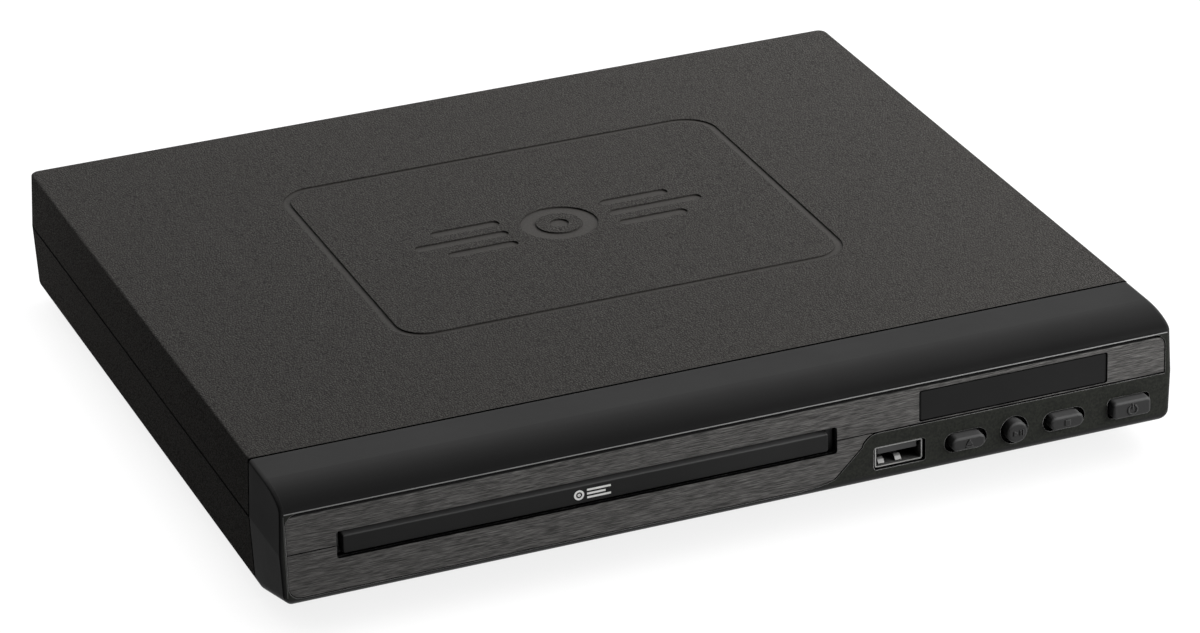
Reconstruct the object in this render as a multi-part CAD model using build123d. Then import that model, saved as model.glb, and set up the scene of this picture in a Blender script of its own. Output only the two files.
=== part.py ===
from build123d import *
import os
from math import acos, asin, atan2, ceil, cos, degrees, hypot, pi, radians, sin, tan

# Compact disc player with a motor-driven tray.  Millimetres, +Z up, front towards -Y.
# The origin is under the middle of the body, on the surface that the feet stand on.

# ---------------------------------------------------------------- driving dimensions
body_width = 240.0            # across the crease, the widest line of the body
body_depth = 215.0
body_height = 34.8            # underside to lid
foot_height = 4.0
crease_rise = 19.3            # crease above the underside
upper_draft = 0.75            # each side, crease to lid
lower_draft = 0.65            # each side, crease to underside
wall = 2.2
corner_radius = 2.6           # upright rear corners
lid_edge_radius = 0.6
under_edge_radius = 3.0
bezel_edge_radius = 1.0         # front and top side edges of the front moulding
joint_gap = 0.3               # visible line between the two shells
seam_gap = 0.6                # visible line behind the front moulding
slip = 0.15                   # clearance of parts that are put in by hand
run_gap = 0.2                 # clearance of flat faces that slide
shaft_gap = 0.05              # radial clearance of a running fit
thread_gap = 0.01             # radial, screw in its own hole
print_depth = 0.4             # engraving depth on the lid

bezel_depth = 24.0
bezel_wall = 3.2
bezel_curve_run = 12.0        # front edge of the lid line, along Y
bezel_curve_drop = 3.9        # and along Z
bezel_toe_rise = 5.8          # front lower edge above the underside
bezel_toe_run = 20.0
lip_depth = 4.0               # tongue of the bezel inside the shells
lip_wall = 1.4

inlay_depth = 1.5             # pocket of the brushed strips
inlay_sink = 0.25             # strips behind the front face
inlay_left_inset = 1.8        # strips inside the body's sides
inlay_right_inset = 2.1
inlay_radius = 3.2
inlay_top_drop = 4.6          # top of the upper strip below the lid
inlay_toe = 7.4               # foot of the lower strip above the underside
strip_bevel = 1.3
strip_split_rise = 19.3       # split line above the underside
swoop_lead = 6.0              # S-shaped end of the lower strip, left of the port's middle
swoop_run = 20.5              # and its length along X

window_inset = 18.3           # right end of the window inside the body's side
window_width = 52.7
window_rise = 19.7            # above the underside
window_height = 8.6
window_gap = 0.35             # dark line round the window

disc_diameter = 120.0
disc_bore = 15.0
small_disc_diameter = 80.0
disc_clearance = 0.6
loader_inset = 13.0           # loader's rail inside the body's left side
spindle_from_front = 72.0
tray_travel = 134.0
tray_height = 4.8
tray_margin = 3.5             # tray edge outside the disc recess
tray_base = 20.3              # tray underside above the ground
tray_tail_reach = 100.0       # rear end of the tray behind the spindle
rail_gap = 0.6                # tray edge to the loader's rail
rail_thickness = 3.0
disc_recess = 1.7
small_recess = 1.0
cutout_width = 46.0           # opening for turntable and pickup
slot_height = 7.45
slot_margin = 1.95            # slot beyond each end of the door
slot_base = 19.7
door_margin = 0.3             # door beyond each side of the tray
door_height = 4.9
door_base = 20.2
door_thickness = 2.6
door_sink = 1.3

usb_pitch = 18.3              # port left of the eject button
usb_rise = 12.03
usb_hole_width = 14.2
usb_hole_height = 6.3
usb_width = 13.1
usb_height = 5.7
usb_sheet = 0.35
usb_sink = 0.7
board_from_front = 14.0       # front circuit board, face behind the front face
board_thickness = 1.6

button_rise = 12.1            # row of buttons above the underside
power_inset = 12.25           # power button inside the body's right side
stop_pitch = 18.35            # each button left of the one before
play_pitch = 14.0
eject_pitch = 13.6
pill_well_width = 11.8
pill_well_height = 5.4
pill_width = 9.4
pill_height = 3.6
round_well = 7.6
round_diameter = 5.7
power_well_width = 11.9
power_well_height = 5.7
power_width = 10.7
power_height = 4.6
well_depth = 1.5
button_proud = 2.25
button_edge = 0.8             # rounding of a cap
power_proud = 2.4
button_travel = 0.6
power_travel = 2.0
mark_height = 0.25

panel_setback = 6.5           # rear panel inside the shells
panel_thickness = 1.6
foot_diameter = 13.0
foot_inset_x = 20.0
foot_inset_front = 33.5
foot_inset_rear = 17.5
screw_diameter = 3.0
small_screw = 2.0

badge_x = 63.2                # groove on the lid, half width
badge_front_y = -38.0
badge_rear_y = 64.0
badge_radius = 10.0
badge_groove = 2.1

gear_module = 0.8
gear_play = 0.25
drive_teeth = 20
drive_wheel_teeth = 36
pulley_pinion_teeth = 12
pulley_radius = 9.4
motor_pulley_radius = 3.4
belt_size = 1.2
gear_pin = 3.0                # diameter of the gear posts
gear_lead = 36.5              # first gear in front of the spindle
loading_motor_diameter = 20.0

pivot_from_spindle = 76.0
tilt_drop = 4.5               # spindle sinks this far to free the disc
sled_module = 0.5
sled_play = 0.16
sled_teeth = 20
sled_pinion_teeth = 10
pickup_start = 23.0           # lens to spindle, inner end
pickup_travel = 34.0
rod_diameter = 3.0
rod_spread = 24.0             # rods beside the spindle axis

# ---------------------------------------------------------------- derived planes
z_floor = foot_height
z_crease = z_floor + crease_rise
z_top = z_floor + body_height
z_inside = z_floor + wall                 # top of the floor
z_ceiling = z_top - wall
y_front = -body_depth / 2
y_back = body_depth / 2
y_seam = y_front + bezel_depth
y_spindle = y_front + spindle_from_front
panel_front = y_back - panel_setback - panel_thickness
panel_face = y_back - panel_setback
half_width = body_width / 2
half_inside = half_width - wall

inlay_half_width = half_width - inlay_left_inset
inlay_right_end = half_width - inlay_right_inset
window_x = half_width - window_inset - window_width
power_x = half_width - power_inset
stop_x = power_x - stop_pitch
play_x = stop_x - play_pitch
eject_x = play_x - eject_pitch
usb_x = eject_x - usb_pitch
swoop_top_x = usb_x - swoop_lead
swoop_foot_x = swoop_top_x - swoop_run

tray_half = disc_diameter / 2 + disc_clearance / 2 + tray_margin
rail_x0 = tray_half + rail_gap                # from the loader's middle
rail_x1 = rail_x0 + rail_thickness
loader_x = -half_width + loader_inset + rail_x1   # middle of slot, tray and spindle
door_width = 2 * (tray_half + door_margin)
slot_width = door_width + 2 * slot_margin
tray_tail = y_spindle + tray_tail_reach
loading_gear_y = y_spindle - gear_lead

os.makedirs("parts", exist_ok=True)


# ---------------------------------------------------------------- helpers
def block(x0, x1, y0, y1, z0, z1):
    """Box between two corners."""
    return Pos((x0 + x1) / 2, (y0 + y1) / 2, (z0 + z1) / 2) * Box(x1 - x0, y1 - y0, z1 - z0)


def post(x, y, z0, z1, diameter):
    """Upright cylinder."""
    return Pos(x, y, (z0 + z1) / 2) * Cylinder(diameter / 2, z1 - z0)


def rod_along_y(x, z, y0, y1, diameter):
    """Cylinder lying front to back."""
    return Pos(x, (y0 + y1) / 2, z) * Rot(90, 0, 0) * Cylinder(diameter / 2, y1 - y0)


def rod_along_x(y, z, x0, x1, diameter):
    """Cylinder lying side to side."""
    return Pos((x0 + x1) / 2, y, z) * Rot(0, 90, 0) * Cylinder(diameter / 2, x1 - x0)


def front_prism(outline, y0, y1):
    """Outline drawn in X and Z, from y0 back to y1."""
    return extrude(Plane.XZ.offset(-y0) * outline, amount=-(y1 - y0))


def side_prism(outline, x0, x1):
    """Outline drawn in Y and Z, from x0 to x1."""
    return extrude(Plane.YZ.offset(x0) * outline, amount=x1 - x0)


def flat_prism(outline, z0, z1):
    """Outline drawn in X and Y, from z0 up to z1."""
    return extrude(Pos(0, 0, z0) * outline, amount=z1 - z0)


def join(pieces):
    """Fuse a list of pieces."""
    whole = pieces[0]
    for piece in pieces[1:]:
        whole = whole + piece
    return whole


def save(name, shape):
    """Write one node; a list holds separate solids of one node."""
    if isinstance(shape, list):
        solids = [solid for piece in shape for solid in piece.solids()]
        shape = Compound(children=solids)
    export_step(shape, f"parts/{name}.step")


def screw(x, y, z_head, length, diameter, up=True):
    """Pan-head screw whose head rests at z_head; up means that the shank points down."""
    head_height = 0.6 * diameter
    direction = 1 if up else -1
    shank = post(x, y, *sorted((z_head, z_head - direction * length)), diameter)
    head = post(x, y, *sorted((z_head, z_head + direction * head_height)), 2 * diameter)
    top = z_head + direction * head_height
    bit = 0.35 * diameter
    cross = block(x - 0.7 * diameter, x + 0.7 * diameter, y - 0.12 * diameter, y + 0.12 * diameter,
                  *sorted((top, top - direction * bit)))
    turned = block(x - 0.12 * diameter, x + 0.12 * diameter, y - 0.7 * diameter, y + 0.7 * diameter,
                   *sorted((top, top - direction * bit)))
    return shank + head - cross - turned


def draft_at(z):
    """How far the sides lean in at height z."""
    if z >= z_crease:
        return upper_draft * (z - z_crease) / (z_top - z_crease)
    return lower_draft * (z_crease - z) / (z_crease - z_floor)


def shell_block(z0, z1, inset=0.0, rear=None):
    """Drafted body between two heights; inset moves its walls inwards, rear sets a plain back."""
    heights = [z0] + [z_crease] * (z0 < z_crease < z1) + [z1]
    half = body_width / 2 - inset
    right = [(half - draft_at(z), z) for z in heights]
    left = [(-x, z) for x, z in reversed(right)]
    back = [(y_back - draft_at(z) if rear is None else rear, z) for z in heights]
    front = [(y_front + inset, z) for z in reversed(heights)]
    across = front_prism(make_face(Polyline(*right, *left, close=True)), y_front - 1, y_back + 10)
    along = side_prism(make_face(Polyline(*back, *front, close=True)), -body_width, body_width)
    return across & along


def rounded_shell(z0, z1, edge_radius, upper_edge):
    """Drafted body with round rear corners and a round upper or lower edge."""
    body = shell_block(z0, z1)
    rear_corners = [edge for edge in body.edges() if abs(edge.center().X) > body_width / 4
                    and edge.center().Y > y_back - 2 and z0 + 1 < edge.center().Z < z1 - 1]
    body = fillet(ShapeList(rear_corners), corner_radius)
    rim_z = z1 if upper_edge else z0
    rim = [edge for edge in body.edges() if abs(edge.center().Z - rim_z) < 0.01]
    return fillet(ShapeList(rim), edge_radius)


# ---------------------------------------------------------------- gears
def involute(angle):
    return tan(angle) - angle


def gear_outline(teeth, module, play=gear_play, turn=0.0):
    """Involute gear outline with thinned teeth; turn is the angle of one tooth's middle."""
    pitch = teeth * module / 2
    tip = pitch + 0.9 * module
    root = pitch - 1.2 * module
    pressure = radians(20)
    base = pitch * cos(pressure)
    half_pitch_tooth = pi / (2 * teeth) - play / (4 * pitch)
    flank = []
    for radius in (max(root + 0.05, base), (base + pitch) / 2 + 0.02, pitch, (pitch + tip) / 2, tip):
        radius = max(radius, base)
        half = half_pitch_tooth + involute(pressure) - involute(acos(base / radius))
        flank.append((radius, half))
    flank = [(root, flank[0][1])] + flank
    points = []
    for k in range(teeth):
        middle = turn + 2 * pi * k / teeth
        side = [(r, middle - a) for r, a in flank] + [(r, middle + a) for r, a in reversed(flank)]
        points += [(r * cos(a), r * sin(a)) for r, a in side]
    return make_face(Polyline(*points, close=True))


def rack_teeth(x_pitch, y0, y1, module, phase, z0, z1, depth):
    """Rack with teeth towards +X; x_pitch is its pitch line, phase the middle of one tooth."""
    pitch = pi * module
    tip = x_pitch + 0.9 * module
    root = x_pitch - 1.2 * module
    slope = tan(radians(20))
    half = pitch / 4 - gear_play / 4
    first = ceil((y0 + pitch / 2 - phase) / pitch)
    last = int((y1 - pitch / 2 - phase) // pitch)
    points = [(root - depth, y0), (root, y0)]
    for k in range(first, last + 1):
        middle = phase + k * pitch
        wide = half + (x_pitch - root) * slope
        thin = half - (tip - x_pitch) * slope
        points += [(root, middle - wide), (tip, middle - thin), (tip, middle + thin), (root, middle + wide)]
    points += [(root, y1), (root - depth, y1)]
    return flat_prism(make_face(Polyline(*points, close=True)), z0, z1)


# ---------------------------------------------------------------- lid
def lid_mark():
    """Engraved ornament: a ring with a bore, and three bars on each side."""
    middle_y = badge_front_y + 0.5 * (badge_rear_y - badge_front_y)
    ring = Circle(10.5) - Circle(6.2) + Circle(2.6)
    bars = []
    for side in (-1, 1):
        for row, reach in ((-1, 34.0), (0, 41.0), (1, 34.0)):
            length = reach - 14.5
            bars.append(Pos(side * (14.5 + length / 2), row * 7.0) * SlotOverall(length, 3.6))
    return Pos(0, middle_y) * (ring + bars)


def make_top_cover():
    outer = rounded_shell(z_crease, z_top, lid_edge_radius, True)
    hollow = shell_block(z_crease - 1, z_ceiling, wall, y_back + 5)
    cover = outer - hollow - block(-body_width, body_width, y_front - 1, y_seam, 0, z_top + 1)
    badge_size = (2 * badge_x, badge_rear_y - badge_front_y)
    middle = Pos(0, (badge_front_y + badge_rear_y) / 2)
    ring = middle * (RectangleRounded(*badge_size, badge_radius)
                     - RectangleRounded(badge_size[0] - 2 * badge_groove, badge_size[1] - 2 * badge_groove,
                                        badge_radius - badge_groove))
    cover = cover - flat_prism(ring, z_top - print_depth, z_top + 1)
    cover = cover - flat_prism(lid_mark(), z_top - print_depth, z_top + 1)
    for x, y in case_posts:
        cover = cover + post(x, y, z_post_split, z_ceiling + 0.1, case_post_diameter)
        cover = cover - post(x, y, z_post_split - 1, z_ceiling - 1, screw_diameter + 2 * thread_gap)
    for y0, y1 in panel_rails:
        cover = cover + block(-half_rail, half_rail, y0, y1, z_ceiling - rail_height, z_ceiling + 0.1)
    return cover


# ---------------------------------------------------------------- lower shell
case_post_diameter = 7.0
case_post_x = half_inside - case_post_diameter / 2 - 0.9
case_post_y = (y_seam + 17.5, panel_front - 15.4)
case_posts = [(side * case_post_x, y) for side in (-1, 1) for y in case_post_y]
z_post_split = z_crease + 4.0
rail_height = 1.8
half_rail = half_inside - 2.5
panel_rails = [(panel_front - slip - 1.4, panel_front - slip), (panel_face + slip, panel_face + slip + 1.4)]
foot_y = (y_front + foot_inset_front, y_back - foot_inset_rear)
feet = [(side * (half_width - foot_inset_x), y) for side in (-1, 1) for y in foot_y]
foot_pocket = 0.5

frame_deck = 14.0                         # underside of the loader frame's deck
deck_thickness = 2.0
frame_post_x = tray_half - 5.8             # from the loader's middle
frame_post_y = (y_spindle - 14.5, tray_tail - 6.5)
frame_posts = [(loader_x + side * frame_post_x, y) for side in (-1, 1) for y in frame_post_y]
board_top = 13.0                          # top face of the two lower boards
board_under = board_top - board_thickness
board_inset = 4.0                         # fixing holes from the boards' edges
socket_depth = 16.0                       # kept free of them at the rear
board_gap = 0.6                           # boards to the rear panel
power_board_size = (70.0, 86.8)
main_board_depth = 28.8
power_board_x = (half_inside - 9.8 - power_board_size[0], half_inside - 9.8)
power_board_y = (panel_front - board_gap - power_board_size[1], panel_front - board_gap)
main_board_x = (-half_inside + 11.8, power_board_x[0] - 5.0)
main_board_y = (panel_front - board_gap - main_board_depth, panel_front - board_gap)


def board_holes(x_range, y_range):
    """Four fixing points of a board, the rear pair in front of the sockets."""
    return [(x, y) for x in (x_range[0] + board_inset, x_range[1] - board_inset)
            for y in (y_range[0] + board_inset, y_range[1] - socket_depth)]


board_posts = board_holes(main_board_x, main_board_y) + board_holes(power_board_x, power_board_y)
board_post_diameter = 6.0
screw_seat = 8.0                          # heads of the case screws above the underside


def vent_slots(x0, y, length, count=8, pitch=7.0, width=3.0):
    """Row of slots in the floor, each along Y."""
    slots = [Pos(x0 + k * pitch, y) * SlotOverall(length, width, rotation=90) for k in range(count)]
    return flat_prism(Sketch() + slots, z_floor - 1, z_inside + 1)


def make_bottom_case():
    outer = rounded_shell(z_floor, z_crease - joint_gap, under_edge_radius, False)
    hollow = shell_block(z_inside, z_crease + 1, wall, y_back + 5)
    case = outer - hollow - block(-body_width, body_width, y_front - 1, y_seam, 0, z_top)
    for side in (-1, 1):
        tongue = block(half_inside - slip - 1.2, half_inside - slip, y_seam + 6, panel_front - 4,
                       z_inside, z_crease + 1.6)
        case = case + (tongue if side > 0 else mirror(tongue, Plane.YZ))
        bridge = block(half_inside - 0.7, half_inside + 0.1, y_seam + 6, panel_front - 4, z_inside,
                       z_crease - joint_gap)
        case = case + (bridge if side > 0 else mirror(bridge, Plane.YZ))
    for x, y in case_posts:
        case = case + post(x, y, z_floor + 0.5, z_post_split, case_post_diameter)
    for x, y in case_posts:
        case = case - post(x, y, z_floor - 1, z_floor + screw_seat, 2 * screw_diameter + 0.6)
        case = case - post(x, y, z_floor, z_post_split + 1, screw_diameter + 2 * slip)
    for x, y in frame_posts:
        case = case + post(x, y, z_inside - 0.1, frame_deck, board_post_diameter)
        case = case - post(x, y, z_inside, frame_deck + 1, small_screw + 2 * thread_gap)
    for x, y in board_posts:
        case = case + post(x, y, z_inside - 0.1, board_under, board_post_diameter)
        case = case - post(x, y, z_inside, board_under + 1, small_screw + 2 * thread_gap)
    for y0, y1 in panel_rails:
        case = case + block(-half_rail, half_rail, y0, y1, z_inside - 0.1, z_inside + rail_height)
    for x, y in feet:
        case = case - post(x, y, z_floor - 1, z_floor + foot_pocket, foot_diameter + 2 * slip)
    case = case - vent_slots(main_board_x[0] + 10.0, main_board_y[0] - 10.0, 44.0)
    case = case - vent_slots(power_board_x[0] + 10.0, power_board_y[0] + 42.0, 44.0)
    case = case - vent_slots(power_board_x[0] + 10.0, power_board_y[0] - 32.0, 30.0)
    return case


def make_case_screws():
    return [screw(x, y, z_floor + screw_seat, z_post_split - z_floor - screw_seat + 6.0, screw_diameter,
                  up=False) for x, y in case_posts]


def make_feet():
    made = []
    for x, y in feet:
        foot = post(x, y, 0, z_floor + foot_pocket, foot_diameter)
        edge = foot.edges().group_by(Axis.Z)[0]
        foot = fillet(edge, 1.0)
        made.append(foot - post(x, y, -1, 0.8, foot_diameter - 7.0))
    return made


# ---------------------------------------------------------------- front moulding
def bezel_profile(inset, front_wall, rear):
    """Side outline of the front moulding, moved inwards by inset."""
    y0 = y_front + front_wall
    top = z_top - inset
    run = bezel_curve_run - 0.3 * front_wall
    drop = bezel_curve_drop - 0.3 * inset
    toe_y = y_front + bezel_toe_run + 0.2 * inset
    toe_z = z_floor + bezel_toe_rise + 0.3 * front_wall
    arc = EllipticalCenterArc((y0 + run, top - drop), run, drop, start_angle=90, arc_size=90)
    rest = Polyline((y0, top - drop), (y0, toe_z), (toe_y, z_floor + inset), (rear, z_floor + inset),
                    (rear, top), (y0 + run, top))
    return make_face(Curve() + [arc, rest])


split_z = z_floor + strip_split_rise
strip_top = z_top - inlay_top_drop
strip_foot = z_floor + inlay_toe
trim_face = y_front + inlay_sink
trim_back = y_front + inlay_depth
bezel_back = y_front + bezel_wall


def inlay_outline(margin):
    """Outline of both brushed strips together, moved inwards by margin."""
    width = inlay_half_width + inlay_right_end - 2 * margin
    height = strip_top - strip_foot - 2 * margin
    middle_x = (inlay_right_end - inlay_half_width) / 2
    middle = Pos(middle_x, (strip_top + strip_foot) / 2)
    return middle * RectangleRounded(width, height, inlay_radius - margin)


def swoop(margin):
    """Area right of the S-shaped end of the lower strip, drawn in X and Z."""
    top = split_z - margin
    foot = strip_foot - 1.0
    start = (swoop_top_x + margin, top)
    end = (swoop_foot_x + margin, strip_foot)
    knee = (swoop_top_x - 4.4 + margin, split_z - 3.4)
    ankle = (swoop_foot_x + 8.6 + margin, strip_foot + 1.3)
    upper = TangentArc(start, knee, tangent=(-1, 0))
    slope = Line(knee, ankle)
    lower = TangentArc(end, ankle, tangent=(1, 0))
    closing = Polyline(end, (swoop_foot_x + margin, foot), (body_width, foot), (body_width, top), start)
    return make_face(Curve() + [upper, slope, lower, closing])


def pill(x, width, height):
    return Pos(x, z_floor + button_rise) * SlotOverall(width, height)


def round_spot(x, diameter):
    return Pos(x, z_floor + button_rise) * Circle(diameter / 2)


def soft_rect(x, z, width, height, radius):
    return Pos(x, z) * RectangleRounded(width, height, radius)


# outline of the well, of the cap and of the hole that the cap passes
button_z = z_floor + button_rise
cap_room = 2 * slip
button_shapes = {
    "eject": (pill(eject_x, pill_well_width, pill_well_height),
              pill(eject_x, pill_width, pill_height),
              pill(eject_x, pill_width + cap_room, pill_height + cap_room)),
    "play": (round_spot(play_x, round_well),
             round_spot(play_x, round_diameter),
             round_spot(play_x, round_diameter + cap_room)),
    "stop": (pill(stop_x, pill_well_width, pill_well_height),
             pill(stop_x, pill_width, pill_height),
             pill(stop_x, pill_width + cap_room, pill_height + cap_room)),
    "power": (soft_rect(power_x, button_z, power_well_width, power_well_height, 1.4),
              soft_rect(power_x, button_z, power_width, power_height, 1.2),
              soft_rect(power_x, button_z, power_width + cap_room, power_height + cap_room, 1.2)),
}
slot_outline = soft_rect(loader_x, slot_base + slot_height / 2, slot_width, slot_height, 0.8)
usb_z = z_floor + usb_rise
usb_outline = soft_rect(usb_x, usb_z, usb_hole_width, usb_hole_height, 0.8)
window_outline = soft_rect(window_x + window_width / 2, z_floor + window_rise + window_height / 2,
                           window_width, window_height, 0.6)
board_face = y_front + board_from_front
board_back = board_face + board_thickness
standoff_z = (z_floor + 8.4, z_floor + 23.5)
standoffs = [(usb_x - 7.5, standoff_z[1]), (half_width - 7.0, standoff_z[1]),
             (eject_x - 8.3, standoff_z[0]), (stop_x + 9.1, standoff_z[0])]
standoff_diameter = 4.6


def rounded_bezel():
    """Solid front moulding with its lower edges, then its front and top side edges, rounded."""
    solid = shell_block(z_floor, z_top) & side_prism(bezel_profile(0, 0, y_seam - seam_gap),
                                                     -body_width, body_width)
    toe_line = y_front + bezel_toe_run
    low = [edge for edge in solid.edges() if edge.center().Z < z_floor + 8 and edge.center().Y < y_seam - 1
           and (abs(edge.center().X) > 1 or abs(edge.center().Y - toe_line) > 1)]
    solid = fillet(ShapeList(low), under_edge_radius)
    high = [edge for edge in solid.edges() if abs(edge.center().X) > body_width / 2 - 2 and edge.length > 2
            and edge.center().Y < y_seam - 1 and abs(edge.center().Z - z_crease) > 0.1
            and (abs(edge.center().Y - y_front) < 0.2 or edge.center().Z > z_top - bezel_curve_drop)]
    return fillet(ShapeList(high), bezel_edge_radius)


def make_bezel():
    outer = rounded_bezel()
    hollow = shell_block(z_inside, z_ceiling, wall, y_back) & side_prism(
        bezel_profile(wall, bezel_wall, y_seam + 1), -body_width, body_width)
    bezel = outer - hollow
    pocket = front_prism(inlay_outline(-slip), y_front - 1, trim_back)
    control_zone = front_prism(swoop(slip), y_front - 2, y_front + bezel_depth)
    bezel = bezel - (pocket - control_zone)
    bezel = bezel - front_prism(slot_outline, y_front - 1, bezel_back + 1)
    bezel = bezel - front_prism(usb_outline, y_front - 1, bezel_back + 1)
    bezel = bezel - front_prism(soft_rect(window_x + window_width / 2,
                                          z_floor + window_rise + window_height / 2,
                                          window_width - 3.0, window_height - 3.0, 0.6),
                                y_front - 1, bezel_back + 1)
    for well, _, hole in button_shapes.values():
        bezel = bezel - front_prism(well, y_front - 1, y_front + well_depth)
        bezel = bezel - front_prism(hole, y_front - 1, bezel_back + 1)
    lip = shell_block(z_inside + 1.0, z_ceiling - slip, wall + slip, y_back)
    lip = lip - shell_block(z_inside + 0.5, z_ceiling - slip - lip_wall, wall + slip + lip_wall, y_back)
    keep = block(-body_width, body_width, y_seam - 3.0, y_seam + lip_depth, z_inside + 4.0, z_top)
    bezel = bezel + (lip & keep)
    for side in (-1, 1):
        web_x = side * (half_inside - lip_wall / 2 - slip)
        bezel = bezel + block(web_x - 1.2, web_x + 1.2, y_seam - 3.0, y_seam - 1.0,
                              z_inside + 4, z_ceiling - 1)
    bezel = bezel + block(-half_inside + 2, half_inside - 2, y_seam - 3.0, y_seam - 1.0,
                          z_ceiling - slip - lip_wall, z_ceiling + 0.2)
    for x, z in standoffs:
        bezel = bezel + rod_along_y(x, z, bezel_back - 0.2, board_face, standoff_diameter)
        bezel = bezel - rod_along_y(x, z, bezel_back + 2.0, board_face + 1, small_screw + 2 * thread_gap)
    return bezel


def bevelled(strip_outline, z_edge):
    """Strip plate whose top edge leans back."""
    plate = front_prism(strip_outline, trim_face, trim_back)
    lean = trim_back - trim_face - 0.4
    wedge = side_prism(make_face(Polyline((trim_face - 1, z_edge + 1), (trim_face - 1, z_edge - strip_bevel),
                                          (trim_face, z_edge - strip_bevel),
                                          (trim_face + lean, z_edge), (trim_face + lean, z_edge + 1),
                                          close=True)), -body_width, body_width)
    return plate - wedge


def make_upper_trim():
    top_half = Pos(0, (split_z + joint_gap / 2 + z_top) / 2) * Rectangle(2 * body_width,
                                                                       z_top - split_z - joint_gap / 2)
    strip = bevelled(inlay_outline(0) & top_half, strip_top)
    strip = strip - front_prism(window_outline, y_front - 1, trim_back + 1)
    return strip - front_prism(slot_outline, y_front - 1, trim_back + 1)


def make_lower_trim():
    low_half = Pos(0, (split_z - joint_gap / 2) / 2) * Rectangle(2 * body_width, split_z - joint_gap / 2)
    strip = front_prism(inlay_outline(0) & low_half, trim_face, trim_back)
    strip = strip - front_prism(swoop(0), y_front - 1, trim_back + 1)
    return strip - front_prism(slot_outline, y_front - 1, trim_back + 1)


def make_window():
    plate = front_prism(soft_rect(window_x + window_width / 2, z_floor + window_rise + window_height / 2,
                                  window_width - 2 * window_gap, window_height - 2 * window_gap, 0.5),
                        trim_face + 0.1, trim_back)
    return plate


# ---------------------------------------------------------------- buttons
def triangle(x, z, size, points_up=True):
    h = size * 0.8
    if points_up:
        return make_face(Polyline((x - size / 2, z), (x + size / 2, z), (x, z + h), close=True))
    return make_face(Polyline((x, z - size / 2), (x, z + size / 2), (x + h, z), close=True))


def bar(x, z, width, height):
    return Pos(x, z) * Rectangle(width, height)


def button_mark(kind, x):
    """Raised control symbols, drawn in X and Z."""
    z = z_floor + button_rise
    if kind == "eject":
        return triangle(x, z - 0.25, 1.9) + bar(x, z - 0.85, 1.9, 0.45)
    if kind == "play":
        return triangle(x - 1.2, z, 1.5, False) + bar(x + 0.65, z, 0.35, 1.5) + bar(x + 1.35, z, 0.35, 1.5)
    if kind == "stop":
        return bar(x, z, 1.5, 1.5)
    ring = Pos(x, z - 0.1) * (Circle(1.45) - Circle(1.05))
    ring = ring - bar(x, z + 1.2, 1.1, 1.6)
    return ring + bar(x, z + 0.85, 0.4, 1.6)


def make_button(kind, x, proud, reach):
    """Cap, flange behind the front wall and stem; reach is the Y of the stem's end."""
    _, cap_outline, _ = button_shapes[kind]
    face = y_front - proud
    cap = front_prism(cap_outline, face, bezel_back + run_gap)
    front_edges = cap.faces().sort_by(Axis.Y)[0].edges()
    cap = fillet(front_edges, button_edge)
    flange_height = power_height + 1.6 if kind == "power" else pill_height + 1.6
    flange_width = {"play": round_diameter + 1.8, "power": power_width + 1.6}.get(kind, pill_width + 1.6)
    flange = front_prism(soft_rect(x, z_floor + button_rise, flange_width, flange_height, 1.0),
                         bezel_back + run_gap - 0.01, bezel_back + run_gap + 1.0)
    stem = rod_along_y(x, z_floor + button_rise, bezel_back + run_gap + 0.5, reach, 2.4)
    mark = front_prism(button_mark(kind, x), face - mark_height, face + 0.4)
    return cap + flange + stem + mark


switch_front = board_face - 4.3           # tip of a key switch
power_switch_front = board_face - 3.6
key_gap = 0.1


def make_tact_switches():
    made = []
    for x in (eject_x, play_x, stop_x):
        z = z_floor + button_rise
        housing = block(x - 3, x + 3, board_face - 3.4, board_face, z - 3, z + 3)
        housing = housing + rod_along_y(x, z, switch_front, board_face - 3.3, 3.2)
        made.append(housing)
    return made


def make_power_switch():
    z = z_floor + button_rise
    housing = block(power_x - 4, power_x + 4, board_face - 2.6, board_face, z - 4, z + 4)
    return housing + rod_along_y(power_x, z, power_switch_front, board_face - 2.5, 3.0)


# ---------------------------------------------------------------- front electronics
front_board_x = (usb_x - 11.0, half_width - 4.5)
front_board_z = (z_floor + 5.0, z_floor + 27.0)


def make_front_board():
    board = block(*front_board_x, board_face, board_back, *front_board_z)
    for x, z in standoffs:
        board = board - rod_along_y(x, z, board_face - 1, board_back + 1, small_screw + 2 * slip)
    return board


def make_display():
    z0 = z_floor + window_rise + 0.2
    base = block(window_x + 2.0, window_x + 34.0, bezel_back + 1.4, board_face, z0, z0 + window_height - 0.4)
    lens = block(window_x + 3.0, window_x + 33.0, bezel_back + 0.4, bezel_back + 1.4, z0 + 1.0,
                 z0 + window_height - 1.4)
    return base + lens


def make_ir_receiver():
    x = window_x + window_width - 8.0
    z = z_floor + window_rise + window_height / 2
    body = block(x - 2.8, x + 2.8, board_face - 6.0, board_face - 2.6, z - 3.0, z + 3.0)
    dome = Pos(x, board_face - 5.4, z) * Sphere(1.9)
    legs = [block(x + k * 1.6 - 0.25, x + k * 1.6 + 0.25, board_face - 3.2, board_face, z - 2.0, z - 1.5)
            for k in (-1, 0, 1)]
    return join([body + dome] + legs)


def make_usb_shell():
    outer = soft_rect(usb_x, usb_z, usb_width, usb_height, 0.5)
    inner = soft_rect(usb_x, usb_z, usb_width - 2 * usb_sheet, usb_height - 2 * usb_sheet, 0.3)
    sleeve = front_prism(outer, y_front + usb_sink, board_face)
    sleeve = sleeve - front_prism(inner, y_front + usb_sink - 1, board_face - 1.0)
    for x in (usb_x - 3.2, usb_x + 3.2):
        sleeve = sleeve - block(x - 0.9, x + 0.9, y_front + 3.0, y_front + 5.5, usb_z + 1, usb_z + usb_height)
    return sleeve


usb_tongue_width = 10.8
usb_tongue_z = (usb_z + 0.3, usb_z + 2.2)


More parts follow.
